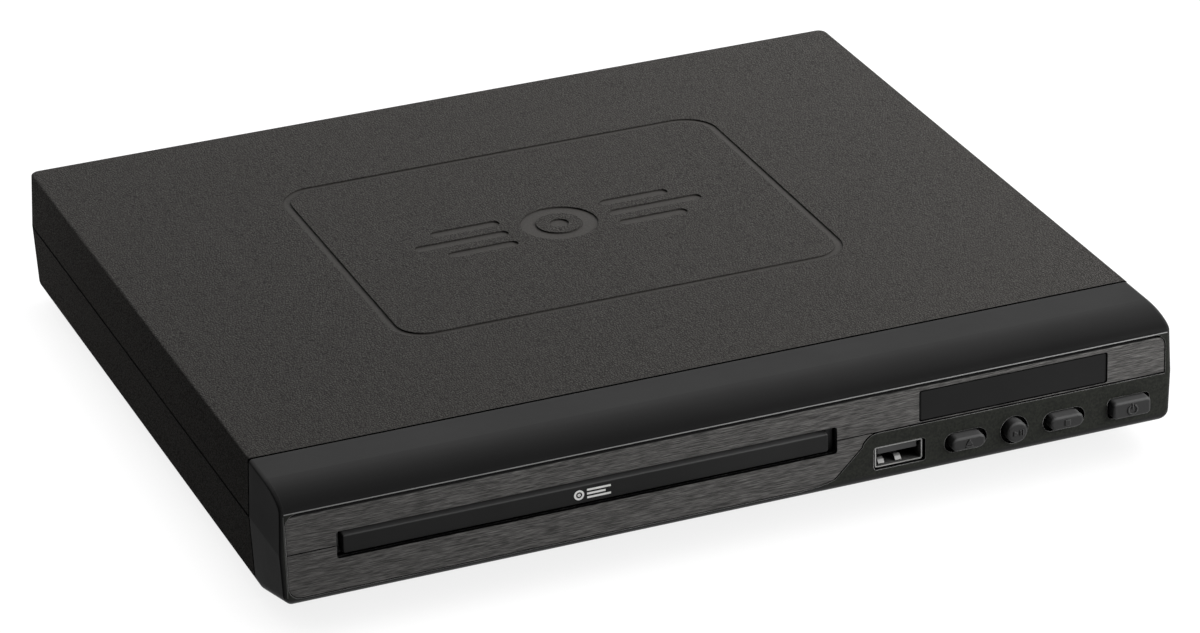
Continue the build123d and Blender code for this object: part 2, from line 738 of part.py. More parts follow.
def make_usb_tongue():
    return block(usb_x - usb_tongue_width / 2, usb_x + usb_tongue_width / 2, y_front + usb_sink + 1.0,
                 board_face - 1.0, *usb_tongue_z)


def make_usb_contacts():
    return [block(usb_x + k * 2.25 - 0.5, usb_x + k * 2.25 + 0.5, y_front + usb_sink + 2.0,
                  board_face - 1.0, usb_tongue_z[0] - 0.3, usb_tongue_z[0])
            for k in (-1.5, -0.5, 0.5, 1.5)]


# ---------------------------------------------------------------- rear panel and sockets
rca_pitch = 12.5
rca_x = [main_board_x[0] + 7.0 + k * rca_pitch for k in range(3)]
rca_z = board_top + 7.0
rca_barrel = 8.3
rca_sheet = 0.6
rca_reach = 9.15                          # barrel ends in front of the panel's face
rca_neck = 7.6                            # waist of a barrel where it passes the panel
scart_x = rca_x[-1] + 40.0
scart_width = 47.0
scart_height = 15.0
scart_z = board_top + 8.5
mains_x = power_board_x[1] - 16.0
mains_z = board_top + 7.5
mains_width = 16.4
mains_height = 9.0


def scart_outline(margin):
    """Socket face with one slanted corner, drawn in X and Z."""
    w = scart_width / 2 - margin
    h = scart_height / 2 - margin
    cut = 5.0
    face = Polyline((-w, -h), (w, -h), (w, h), (-w + cut, h), (-w, h - cut), close=True)
    return Pos(scart_x, scart_z) * make_face(face)


def make_rear_panel():
    inside = shell_block(z_inside, z_ceiling - slip, wall + slip, y_back + 5)
    panel = inside & block(-body_width, body_width, panel_front, panel_face, 0, z_top)
    for x in rca_x:
        panel = panel - rod_along_y(x, rca_z, panel_front - 1, panel_face + 1, rca_barrel + 2 * slip)
    panel = panel - front_prism(scart_outline(-slip), panel_front - 1, panel_face + 1)
    panel = panel - front_prism(Pos(mains_x, mains_z) * SlotOverall(mains_width + 2 * slip,
                                                                    mains_height + 2 * slip),
                                panel_front - 1, panel_face + 1)
    for k in range(10):
        x = scart_x + 52.0 + k * 5.0
        panel = panel - front_prism(Pos(x, z_floor + 17.0) * SlotOverall(14.0, 2.4, rotation=90),
                                    panel_front - 1, panel_face + 1)
    return panel


def make_rca_block():
    body = block(rca_x[0] - 6.2, rca_x[-1] + 6.2, panel_front - 9.0, panel_front, board_top, rca_z + 6.4)
    for x in rca_x:
        body = body - rod_along_y(x, rca_z, panel_front - 3.0, panel_front + 1, rca_barrel - 2 * rca_sheet)
    return body


def make_rca_barrels():
    made = []
    tip = panel_face + rca_reach
    for x in rca_x:
        sleeve = rod_along_y(x, rca_z, panel_face + slip, tip, rca_barrel)
        waist = rod_along_y(x, rca_z, panel_front, panel_face + 1.0, rca_neck)
        bore = rod_along_y(x, rca_z, panel_front - 1, tip + 1, 3.4)
        ring = rod_along_y(x, rca_z, panel_front + 2.0, tip + 1, rca_barrel - 2 * rca_sheet)
        made.append(sleeve + waist - bore - ring)
    return made


def make_scart():
    body = front_prism(scart_outline(0), panel_front - 12.0, panel_face + 1.0)
    foot = block(scart_x - scart_width / 2, scart_x + scart_width / 2, panel_front - 12.0, panel_front - 0.5,
                 board_top, scart_z)
    cavity = front_prism(scart_outline(1.4), panel_front - 3.0, panel_face + 2.0)
    tower = block(scart_x - 19.0, scart_x + 19.0, panel_front - 4.0, panel_face + 0.6,
                  scart_z - 3.4, scart_z + 3.0)
    socket = body + foot - cavity + tower
    for k in range(10):
        x = scart_x - 17.1 + k * 3.8
        for z, offset in ((scart_z + 1.8, 0.0), (scart_z - 2.2, 1.0)):
            socket = socket - block(x - 0.6 + offset - 0.5, x + 0.6 + offset - 0.5, panel_face - 2.0,
                                    panel_face + 2.0, z - 0.45, z + 0.45)
    return socket


def make_mains_inlet():
    body = block(mains_x - 11.0, mains_x + 11.0, panel_front - 13.0, panel_front, board_top, mains_z + 7.0)
    snout = front_prism(Pos(mains_x, mains_z) * SlotOverall(mains_width, mains_height), panel_front - 1,
                        panel_face + 1.0)
    cavity = front_prism(Pos(mains_x, mains_z) * SlotOverall(mains_width - 2.4, mains_height - 2.4),
                         panel_front - 9.0, panel_face + 2)
    return body + snout - cavity


def make_inlet_pins():
    return [rod_along_y(mains_x + side * 4.3, mains_z, panel_front - 9.0, panel_face - 0.5, 2.3)
            for side in (-1, 1)]


# ---------------------------------------------------------------- boards
def drilled_board(x_range, y_range):
    board = block(*x_range, *y_range, board_under, board_top)
    for x, y in board_holes(x_range, y_range):
        board = board - post(x, y, board_under - 1, board_top + 1, small_screw + 2 * slip)
    return board


def make_board_screws():
    made = []
    for x, y in board_posts:
        made.append(screw(x, y, board_top, board_thickness + 3.5, small_screw))
    for x, z in standoffs:
        shank = rod_along_y(x, z, board_face - 4.0, board_back, small_screw)
        head = rod_along_y(x, z, board_back, board_back + 1.2, 2 * small_screw)
        made.append(shank + head)
    return made


def on_main_board(x, y):
    """Point measured from the main board's left front corner."""
    return main_board_x[0] + x, main_board_y[0] + y


def on_power_board(x, y):
    """Point measured from the power board's left front corner."""
    return power_board_x[0] + x, power_board_y[0] + y


def chip(x, y, width, depth, height):
    return block(x - width / 2, x + width / 2, y - depth / 2, y + depth / 2, board_top, board_top + height)


def make_chips():
    """Decoder and its memory at the right end of the main board, an amplifier by the sockets."""
    decoder = chip(*on_main_board(main_board_x[1] - main_board_x[0] - 25.0, 14.0), 16.0, 16.0, 1.4)
    memory = chip(*on_main_board(main_board_x[1] - main_board_x[0] - 11.2, 16.0), 7.6, 14.0, 1.2)
    amplifier = chip(*on_main_board(42.0, 8.0), 9.0, 5.0, 1.4)
    return [decoder, memory, amplifier]


def capacitor(x, y, diameter, height):
    can = post(x, y, board_top, board_top + height, diameter)
    rim = can.edges().group_by(Axis.Z)[-1]
    can = fillet(rim, 0.5)
    top = board_top + height
    score = block(x - diameter / 3, x + diameter / 3, y - 0.2, y + 0.2, top - 0.3, top + 1)
    turned = block(x - 0.2, x + 0.2, y - diameter / 3, y + diameter / 3, top - 0.3, top + 1)
    return can - score - turned


def make_board_capacitors():
    spots = [(44.0, 20.0), (90.0, 5.5), (99.0, 5.5), (14.0, 8.0), (24.0, 8.0)]
    return [capacitor(*on_main_board(*spot), 6.3, 8.0) for spot in spots]


def make_power_capacitors():
    output = [capacitor(*on_power_board(8.0, y), 10.0, 14.0) for y in (34.0, 48.0)]
    return output + [capacitor(*on_power_board(18.0, 72.0), 12.5, 17.0),
                     capacitor(*on_power_board(62.0, 50.0), 16.0, 19.0)]


def make_transformer():
    x, y = on_power_board(38.0, 42.0)
    core = block(x - 14.0, x + 14.0, y - 5.0, y + 5.0, board_top + 4.0, board_top + 18.0)
    core = core - block(x - 9.5, x + 9.5, y - 6.0, y + 6.0, board_top + 7.5, board_top + 14.5)
    bobbin = block(x - 8.5, x + 8.5, y - 8.0, y + 8.0, board_top, board_top + 17.0)
    return core + bobbin


def make_fuse():
    x0, y = on_power_board(33.5, 64.0)
    length = 21.0
    glass = rod_along_x(y, board_top + 4.0, x0 + 0.5, x0 + length - 0.5, 5.0)
    ends = (x0, x0 + length - 5.0)
    caps = [rod_along_x(y, board_top + 4.0, x, x + 5.0, 5.4) for x in ends]
    legs = [block(x + 1.0, x + 4.0, y - 2.0, y + 2.0, board_top, board_top + 3.0) for x in ends]
    return join([glass] + caps + legs)


def make_heat_sink():
    x0, y0 = on_power_board(22.0, 12.0)
    back = block(x0, x0 + 30.0, y0, y0 + 2.0, board_top, board_top + 18.0)
    fins = [block(x0 + 1.0 + k * 5.2, x0 + 2.6 + k * 5.2, y0 + 1.0, y0 + 10.0, board_top + 1.0,
                  board_top + 18.0) for k in range(6)]
    return join([back] + fins)


ribbon_width = 12.0


def make_ribbons():
    """Two flat cables from the front board to the underside of the power board."""
    sheet = 0.5
    z0 = front_board_z[0] + 0.6
    back = power_board_y[0] + 8.0
    made = []
    for x0 in (power_board_x[0] + 30.0, power_board_x[0] + 45.0):
        x1 = x0 + ribbon_width
        drop = block(x0, x1, board_back, board_back + sheet, z0, z0 + 3.0)
        run = block(x0, x1, board_back, back, z0, z0 + sheet)
        rise = block(x0, x1, back - sheet, back, z0, board_under)
        made.append(drop + run + rise)
    return made


# ---------------------------------------------------------------- loader: frame and tray
bridge_post_x = rail_x1 + 2.0
frame_front = bezel_back + 0.6
frame_rear = tray_tail + 2.5
deck_top = frame_deck + deck_thickness
tray_top = tray_base + tray_height
bridge_z = tray_top + 4.3
bridge_thickness = 1.2
bridge_half_depth = 15.0
bridge_screw_y = 11.0
bridge_spots = [(loader_x + side * (rail_x0 + 2.4), y) for side in (-1, 1)
                for y in (y_spindle - bridge_screw_y, y_spindle + bridge_screw_y)]
well_half_x = 46.0                        # opening in the deck for the tilting frame
well_front = y_spindle - 27.0
well_rear = y_spindle + pivot_from_spindle + 9.0
pivot_y = y_spindle + pivot_from_spindle
pivot_z = 14.0
pivot_pin = 4.0
drive_radius = gear_module * drive_teeth / 2
wheel_radius = gear_module * drive_wheel_teeth / 2
pinion_radius = gear_module * pulley_pinion_teeth / 2
rack_pitch_x = tray_half - 0.9 * gear_module
drive_x = loader_x + rack_pitch_x + drive_radius
train_turn = radians(35)
pulley_x = drive_x + (wheel_radius + pinion_radius) * cos(train_turn)
pulley_y = loading_gear_y + (wheel_radius + pinion_radius) * sin(train_turn)
belt_span = 27.0
belt_turn = radians(75)
motor_x = pulley_x + belt_span * cos(belt_turn)
motor_y = pulley_y + belt_span * sin(belt_turn)
wheel_z = (deck_top + 0.4, deck_top + 2.6)
rack_z = (tray_base + 0.4, tray_base + 3.4)
belt_z = (rack_z[0] + rack_z[1]) / 2
wing_x1 = pulley_x + pulley_radius + 6.0
wing_y = (loading_gear_y - wheel_radius - 2.0, motor_y + loading_motor_diameter / 2 + 2.0)


def loader_block(x0, x1, y0, y1, z0, z1):
    """Box placed from the middle of the loader."""
    return block(loader_x + x0, loader_x + x1, y0, y1, z0, z1)


def make_loader_frame():
    deck = loader_block(-rail_x1, rail_x1, frame_front, frame_rear, frame_deck, deck_top)
    deck = deck - loader_block(-well_half_x, well_half_x, well_front, well_rear, frame_deck - 1, deck_top + 1)
    frame = deck + block(loader_x + rail_x0, wing_x1, *wing_y, frame_deck, deck_top)
    for side in (-1, 1):
        x0, x1 = sorted((side * rail_x0, side * rail_x1))
        frame = frame + loader_block(x0, x1, frame_front, frame_rear, frame_deck, tray_top + 2.0)
        x0, x1 = sorted((side * (rail_x0 - 5.0), side * rail_x1))
        frame = frame + loader_block(x0, x1, frame_front, frame_rear, tray_base - run_gap - 1.8,
                                     tray_base - run_gap)
        for y in (frame_front, y_spindle + 5.5, y_spindle + 55.5, frame_rear - 8.0):
            x0, x1 = sorted((side * (rail_x0 - 2.6), side * rail_x1))
            frame = frame + loader_block(x0, x1, y, y + 8.0, tray_top + run_gap, tray_top + 2.0)
        for y in (y_spindle - bridge_screw_y, y_spindle + bridge_screw_y):
            x0, x1 = sorted((side * rail_x0, side * bridge_post_x))
            frame = frame + loader_block(x0, x1, y - 3.0, y + 3.0, frame_deck, bridge_z)
        boss_x0, boss_x1 = sorted((side * (well_half_x - 0.6), side * (well_half_x + 4.0)))
        boss = loader_block(boss_x0, boss_x1, pivot_y - 4.5, pivot_y + 4.5, pivot_z - 3.5, deck_top)
        frame = frame + boss
    frame = frame - rod_along_x(pivot_y, pivot_z, loader_x - well_half_x - 3.0, loader_x + well_half_x + 3.0,
                                pivot_pin + 2 * shaft_gap)
    frame = frame - post(drive_x, loading_gear_y, deck_top + run_gap, tray_top + 3.0,
                         2 * (wheel_radius + gear_module + 0.8))
    for x, y, top in ((drive_x, loading_gear_y, rack_z[1]), (pulley_x, pulley_y, rack_z[1])):
        frame = frame + post(x, y, frame_deck, wheel_z[0], gear_pin + 3.0)
        frame = frame + post(x, y, frame_deck, top + 0.8, gear_pin)
    frame = frame - post(motor_x, motor_y, frame_deck - 1, deck_top + 1, 6.0)
    for x, y in frame_posts:
        frame = frame - post(x, y, frame_deck - 1, deck_top + 1, small_screw + 2 * slip)
    for x, y in bridge_spots:
        frame = frame - post(x, y, bridge_z - 6.0, bridge_z + 1, small_screw + 2 * thread_gap)
    guide = loader_block(-slider_half - slider_shift - 3.0, slider_half + 3.0, well_front - 0.1,
                         well_front + 1.4, frame_deck - 5.0, frame_deck + 0.1)
    frame = frame + guide
    return frame


def make_loader_screws():
    """Four screws hold the loader down, and four more hold the clamp bridge."""
    down = [screw(x, y, deck_top, deck_thickness + 4.0, small_screw) for x, y in frame_posts]
    return down + [screw(x, y, bridge_z + bridge_thickness, 5.5, small_screw) for x, y in bridge_spots]


def make_clamp_bridge():
    plate = loader_block(-bridge_post_x, bridge_post_x, y_spindle - bridge_half_depth,
                         y_spindle + bridge_half_depth, bridge_z, bridge_z + bridge_thickness)
    plate = plate - post(loader_x, y_spindle, bridge_z - 1, bridge_z + 3, puck_neck + 1.4)
    for x, y in bridge_spots:
        plate = plate - post(x, y, bridge_z - 1, bridge_z + 3, small_screw + 2 * slip)
    for side in (-1, 1):
        for x in (28.0, 46.0):
            slot = Pos(loader_x + side * x, y_spindle) * SlotOverall(18.0, 5.0, rotation=90)
            plate = plate - flat_prism(slot, bridge_z - 1, bridge_z + 3)
    return plate


door_back = y_front + door_sink + door_thickness


def make_disc_tray():
    tray = loader_block(-tray_half, rack_pitch_x - 1.2 * gear_module - 1.6, door_back, tray_tail,
                        tray_base, tray_top)
    edge = loader_block(rack_pitch_x - 1.2 * gear_module - 1.7, tray_half, door_back, tray_tail,
                        rack_z[1] + 0.2, tray_top)
    tray = tray + edge
    recess = post(loader_x, y_spindle, tray_top - disc_recess, tray_top + 1, disc_diameter + disc_clearance)
    inner = post(loader_x, y_spindle, tray_top - disc_recess - small_recess, tray_top + 1,
                 small_disc_diameter + disc_clearance)
    tray = tray - recess - inner
    slot_half = cutout_width / 2
    opening = post(loader_x, y_spindle, tray_base - 1, tray_top + 1, cutout_width)
    opening = opening + loader_block(-slot_half, slot_half, y_spindle, tray_tail + 1,
                                     tray_base - 1, tray_top + 1)
    tray = tray - opening
    for side in (-1, 1):
        x0, x1 = sorted((side * (slot_half + 4.0), side * (small_disc_diameter / 2 + 16.0)))
        tray = tray - loader_block(x0, x1, y_spindle + 62.0, tray_tail - 6.0, tray_base - 1, tray_base + 3.0)
        notch = Pos(loader_x + side * disc_diameter / 2, y_spindle, tray_top) * Cylinder(9.0, 2 * disc_recess)
        tray = tray - (notch & loader_block(-tray_half + 1.0, tray_half - 1.0, y_front, y_back, 0, z_top))
    rack = rack_teeth(loader_x + rack_pitch_x, door_back, tray_tail, gear_module, loading_gear_y,
                      rack_z[0], rack_z[1] + 0.3, 1.6)
    return tray + rack


def make_tray_door():
    plate = front_prism(soft_rect(loader_x, door_base + door_height / 2, door_width, door_height, 0.5),
                        y_front + door_sink, door_back)
    edges = plate.faces().sort_by(Axis.Y)[0].edges()
    return fillet(edges, 0.4)


# ---------------------------------------------------------------- loading gears
def make_drive_gear():
    spot = Pos(drive_x, loading_gear_y)
    wheel = flat_prism(spot * gear_outline(drive_wheel_teeth, gear_module), *wheel_z)
    rack_turn = pi + pi / drive_teeth
    pinion = flat_prism(spot * gear_outline(drive_teeth, gear_module, turn=rack_turn), *rack_z)
    neck = post(drive_x, loading_gear_y, wheel_z[1] - 0.1, rack_z[0] + 0.1, 9.0)
    gear = wheel + pinion + neck
    return gear - post(drive_x, loading_gear_y, wheel_z[0] - 1, rack_z[1] + 1, gear_pin + 2 * shaft_gap)


def make_pulley_gear():
    spot = Pos(pulley_x, pulley_y)
    # the wheel's tooth angle seen along the line of centres sets the pinion's tooth angle
    wheel_pitch = 2 * pi / drive_wheel_teeth
    into_gap = (train_turn % wheel_pitch) / wheel_pitch
    pinion_pitch = 2 * pi / pulley_pinion_teeth
    turn = train_turn + pi + (0.5 + into_gap) * pinion_pitch
    pinion = flat_prism(spot * gear_outline(pulley_pinion_teeth, gear_module, turn=turn), *wheel_z)
    bore = gear_pin + 2 * shaft_gap
    gear = pinion + grooved_pulley(pulley_x, pulley_y, pulley_radius, bore, wheel_z[1] - 0.1)
    return gear - post(pulley_x, pulley_y, wheel_z[0] - 1, belt_z + 5, bore)


def grooved_pulley(x, y, radius, bore, z_hub):
    """Belt pulley; radius is that of the groove floor plus half the belt."""
    rim = radius + belt_size / 2 + 0.2
    wheel = post(x, y, belt_z - belt_size, belt_z + belt_size, 2 * rim)
    groove = post(x, y, belt_z - belt_size / 2 - 0.1, belt_z + belt_size / 2 + 0.1, 2 * rim + 2)
    groove = groove - post(x, y, belt_z - belt_size, belt_z + belt_size, 2 * (radius - belt_size / 2))
    hub = post(x, y, z_hub, belt_z - belt_size + 0.1, bore + 3.0)
    return wheel - groove + hub - post(x, y, z_hub - 1, belt_z + 5, bore)


def make_motor_pulley():
    bore = 2.0 + 2 * shaft_gap
    return grooved_pulley(motor_x, motor_y, motor_pulley_radius, bore, deck_top + 1.0)


def make_drive_belt():
    """Belt on both pulleys, clear of their groove floors by a hair."""
    play = 0.12
    r1 = pulley_radius + play
    r2 = motor_pulley_radius + play
    loops = []
    for offset in (belt_size / 2, -belt_size / 2):
        a, b = r1 + offset, r2 + offset
        lean = asin((a - b) / belt_span)
        p1 = (-a * sin(-lean), a * cos(lean))
        q1 = (belt_span + b * sin(lean), b * cos(lean))
        hull = make_face(Polyline(p1, q1, (q1[0], -q1[1]), (p1[0], -p1[1]), close=True))
        loops.append(hull + Circle(a) + Pos(belt_span, 0) * Circle(b))
    outline = loops[0] - loops[1]
    outline = Pos(pulley_x, pulley_y) * Rot(0, 0, degrees(belt_turn)) * outline
    return flat_prism(outline, belt_z - belt_size / 2, belt_z + belt_size / 2)


def make_loading_motor():
    can = post(motor_x, motor_y, z_inside + 0.6, frame_deck, loading_motor_diameter)
    rim = can.edges().group_by(Axis.Z)[0]
    can = fillet(rim, 1.0)
    can = can + post(motor_x, motor_y, frame_deck - 0.1, deck_top, 5.6)
    return can + post(motor_x, motor_y, deck_top - 0.1, belt_z + belt_size, 2.0)


# ---------------------------------------------------------------- tilting traverse
tilt_x1 = 44.0
tilt_wall = 7.0
tilt_z = (12.5, 15.5)
tilt_front = y_spindle - 21.5
tilt_rear = pivot_y + 5.5
plate_z = (17.0, 18.0)
plate_front = tilt_front + 3.0
plate_rear = pivot_y - 3.5
damper_x = tilt_x1 - tilt_wall / 2
damper_spots = [(side * damper_x, y) for side in (-1, 1) for y in (y_spindle - 12.5, pivot_y - 11.0)]
damper_diameter = 6.6
slider_y = (tilt_front - 3.6, tilt_front - 1.0)
slider_half = 15.0
slider_shift = 12.0
slider_z = (6.8, 19.0)
cam_pin_z = 14.0
cam_pin = 2.4
tilt_angle = asin(tilt_drop / pivot_from_spindle)
cam_drop = (pivot_y - (slider_y[0] + slider_y[1]) / 2) * sin(tilt_angle)


def make_tilt_frame():
    outer = loader_block(-tilt_x1, tilt_x1, tilt_front, tilt_rear, *tilt_z)
    inner = loader_block(-tilt_x1 + tilt_wall, tilt_x1 - tilt_wall, tilt_front + 5.0, tilt_rear - 9.0,
                         tilt_z[0] - 1, tilt_z[1] + 1)
    frame = outer - inner
    for side in (-1, 1):
        x0, x1 = sorted((side * (tilt_x1 - 0.1), side * (well_half_x + 2.4)))
        frame = frame + rod_along_x(pivot_y, pivot_z, loader_x + x0, loader_x + x1, pivot_pin)
        x0, x1 = sorted((side * (tilt_x1 - 6.0), side * tilt_x1))
        frame = frame + loader_block(x0, x1, pivot_y - 3.5, pivot_y + 3.5, pivot_z - 2.6, tilt_z[1])
    frame = frame + rod_along_y(loader_x, cam_pin_z, slider_y[0] - 0.2, tilt_front + 0.2, cam_pin)
    for x, y in damper_spots:
        frame = frame - post(loader_x + x, y, tilt_z[0] - 1, tilt_z[1] + 1, small_screw + 2 * thread_gap)
    return frame


def make_dampers():
    made = []
    for x, y in damper_spots:
        body = post(loader_x + x, y, tilt_z[1], plate_z[0], damper_diameter)
        made.append(body - post(loader_x + x, y, tilt_z[1] - 1, plate_z[0] + 1, small_screw + 2 * shaft_gap))
    return made


def make_damper_screws():
    return [screw(loader_x + x, y, plate_z[1], plate_z[1] - tilt_z[0] - 0.5, small_screw)
            for x, y in damper_spots]


window_half = 20.6
sled_pitch_x = 19.4
sled_radius = sled_module * sled_teeth / 2
sled_pinion_radius = sled_module * sled_pinion_teeth / 2
sled_gear_x = loader_x + sled_pitch_x + sled_radius
sled_y = y_spindle + 33.0
sled_motor_x = sled_gear_x + sled_radius + sled_pinion_radius
sled_z = (plate_z[1] + 0.15, plate_z[1] + 1.75)
sled_pin = 2.0
spindle_motor_diameter = 24.0
spindle_shaft = 2.0
pickup_half = 9.5
pickup_y = y_spindle + pickup_start
rod_z = 14.9


def make_mech_plate():
    plate = loader_block(-tilt_x1 + 1.0, tilt_x1 - 1.0, plate_front, plate_rear, *plate_z)
    plate = plate - loader_block(-window_half, window_half, y_spindle + 12.6, plate_rear - 3.4,
                                 plate_z[0] - 1, plate_z[1] + 1)
    plate = plate - post(loader_x, y_spindle, plate_z[0] - 1, plate_z[1] + 1, 8.0)
    for x, y in damper_spots:
        plate = plate - post(loader_x + x, y, plate_z[0] - 1, plate_z[1] + 1, small_screw + 2 * slip)
    for side in (-1, 1):
        for y in rod_ends:
            x = side * rod_spread
            block_z = rod_z - rod_diameter / 2 - 1.0
            holder = loader_block(x - 2.6, x + 2.6, y, y + rod_holder, block_z, plate_z[0] + 0.1)
            plate = plate + holder
            plate = plate - rod_along_y(loader_x + x, rod_z, y - 1, y + rod_holder + 1, rod_diameter)
    plate = plate - post(sled_motor_x, sled_y, plate_z[0] - 1, plate_z[1] + 1, 4.0)
    plate = plate + post(sled_gear_x, sled_y, plate_z[0], sled_z[1] + 0.1, sled_pin)
    return plate


rod_holder = 2.4
rod_ends = [y_spindle + 9.6, plate_rear - rod_holder - 0.6]


def make_guide_rods():
    return [rod_along_y(loader_x + side * rod_spread, rod_z, rod_ends[0], rod_ends[1] + rod_holder,
                        rod_diameter) for side in (-1, 1)]


def make_spindle_motor():
    can = post(loader_x, y_spindle, plate_z[0] - 4.8, plate_z[0], spindle_motor_diameter - 5.0)
    flange = post(loader_x, y_spindle, plate_z[0] - 1.6, plate_z[0], spindle_motor_diameter - 3.0)
    neck = post(loader_x, y_spindle, plate_z[0] - 0.1, plate_z[1] + 0.3, 6.0)
    shaft = post(loader_x, y_spindle, plate_z[1], turntable_z[1] - 0.2, spindle_shaft)
    return can + flange + neck + shaft


turntable_z = (21.9, 24.3)
turntable_diameter = 28.0
hub_height = 1.9


def make_turntable():
    disc = post(loader_x, y_spindle, *turntable_z, turntable_diameter)
    boss = post(loader_x, y_spindle, plate_z[1] + 0.6, turntable_z[0] + 0.1, 6.4)
    hub = Pos(loader_x, y_spindle, turntable_z[1] + hub_height / 2) * Cone(disc_bore / 2 - 0.1,
                                                                         disc_bore / 2 - 1.2, hub_height)
    pad = post(loader_x, y_spindle, turntable_z[1] - 0.3, turntable_z[1] + 1, turntable_diameter - 3.0)
    pad = pad - post(loader_x, y_spindle, turntable_z[1] - 1, turntable_z[1] + 2, disc_bore + 3.0)
    table = disc + boss + hub - pad
    return table - post(loader_x, y_spindle, 0, turntable_z[1] - 0.1, spindle_shaft + 2 * shaft_gap)


def make_sled_motor():
    can = post(sled_motor_x, sled_y, plate_z[0] - 5.0, plate_z[0], 9.6)
    neck = post(sled_motor_x, sled_y, plate_z[0] - 0.1, plate_z[1], 3.4)
    return can + neck + post(sled_motor_x, sled_y, plate_z[1] - 0.1, sled_z[1] + 0.1, 1.2)


def make_sled_gear():
    outline = Pos(sled_gear_x, sled_y) * gear_outline(sled_teeth, sled_module, sled_play,
                                                      turn=pi + pi / sled_teeth)
    wheel = flat_prism(outline, *sled_z)
    return wheel - post(sled_gear_x, sled_y, 0, z_top, sled_pin + 2 * shaft_gap)


def make_sled_pinion():
    # a gap of the gear faces +X when one of its teeth faces -X half a tooth off
    wheel_pitch = 2 * pi / sled_teeth
    nearest = ((pi + pi / sled_teeth) % wheel_pitch) / wheel_pitch
    pitch = 2 * pi / sled_pinion_teeth
    turn = pi + (0.5 - nearest) * pitch
    outline = Pos(sled_motor_x, sled_y) * gear_outline(sled_pinion_teeth, sled_module, sled_play, turn=turn)
    wheel = flat_prism(outline, *sled_z)
    return wheel - post(sled_motor_x, sled_y, 0, z_top, 1.2 + 2 * shaft_gap)


def make_pickup():
    ends = (pickup_y - pickup_half, pickup_y + pickup_half)
    body = loader_block(-18.6, 18.6, *ends, 12.8, plate_z[1] + 0.1)
    body = body + loader_block(-14.0, 14.0, *ends, plate_z[1], plate_z[1] + 1.2)
    left = loader_block(-rod_spread - 3.0, -18.0, *ends, rod_z - 2.0, rod_z + 1.9)
    right = loader_block(18.0, rod_spread + 2.6, pickup_y - 3.0, pickup_y + 3.0, rod_z - 2.0, rod_z + 1.9)
    body = body + left + right
    reach = rod_diameter + 2 * shaft_gap
    body = body - rod_along_y(loader_x - rod_spread, rod_z, pickup_y - 20, pickup_y + 20, reach)
    fork = loader_block(rod_spread - reach / 2, rod_spread + 5.0, pickup_y - 20, pickup_y + 20,
                        rod_z - reach / 2, rod_z + reach / 2)
    body = body - fork
    rack = rack_teeth(loader_x + sled_pitch_x, pickup_y - 26.0, pickup_y + 12.0, sled_module, sled_y,
                      *sled_z, 2.0)
    bed = loader_block(13.9, sled_pitch_x - 2.0, *ends, *sled_z)
    link = loader_block(13.0, 18.6, *ends, plate_z[1], sled_z[0] + 0.1)
    return body + bed + link + rack - post(loader_x, pickup_y, plate_z[1], z_top, 8.2)


def make_pickup_lens():
    ring = post(loader_x, pickup_y, plate_z[1], plate_z[1] + 1.3, 8.0)
    dome = Pos(loader_x, pickup_y, plate_z[1] + 1.3 - 3.2) * Sphere(3.7)
    cap = dome & post(loader_x, pickup_y, plate_z[1] + 0.8, plate_z[1] + 3.0, 5.0)
    return ring + cap


def make_cam_slider():
    bar_x0 = loader_x - slider_half
    bar_x1 = loader_x + slider_half + slider_shift - 6.0
    plate = block(bar_x0, bar_x1, *slider_y, *slider_z)
    start = (loader_x, cam_pin_z)
    end = (loader_x + slider_shift, cam_pin_z - cam_drop)
    lean = atan2(end[1] - start[1], end[0] - start[0])
    length = hypot(end[0] - start[0], end[1] - start[1])
    track = SlotCenterToCenter(length, cam_pin + 0.7, rotation=degrees(lean))
    track = Pos((start[0] + end[0]) / 2, (start[1] + end[1]) / 2) * track
    return plate - front_prism(track, slider_y[0] - 1, slider_y[1] + 1)


# ---------------------------------------------------------------- disc clamp
puck_neck = 25.0
puck_flange = 33.0


def make_clamp_puck():
    hub_top = turntable_z[1] + hub_height
    z_neck = hub_top + 0.4
    z_flange = bridge_z + bridge_thickness + 0.1
    neck = post(loader_x, y_spindle, z_neck, z_flange + 0.1, puck_neck)
    neck = neck - post(loader_x, y_spindle, z_neck - 1, z_neck + 1.2, disc_bore + 1.0)
    flange = post(loader_x, y_spindle, z_flange, z_flange + 1.4, puck_flange)
    rim = flange.edges().group_by(Axis.Z)[-1]
    flange = fillet(rim, 0.5)
    dish = post(loader_x, y_spindle, z_flange + 0.7, z_flange + 3, puck_neck - 6.0)
    return neck + flange - dish


# ---------------------------------------------------------------- write every node
stem_end = switch_front - key_gap - button_travel
power_stem_end = power_switch_front - key_gap - power_travel

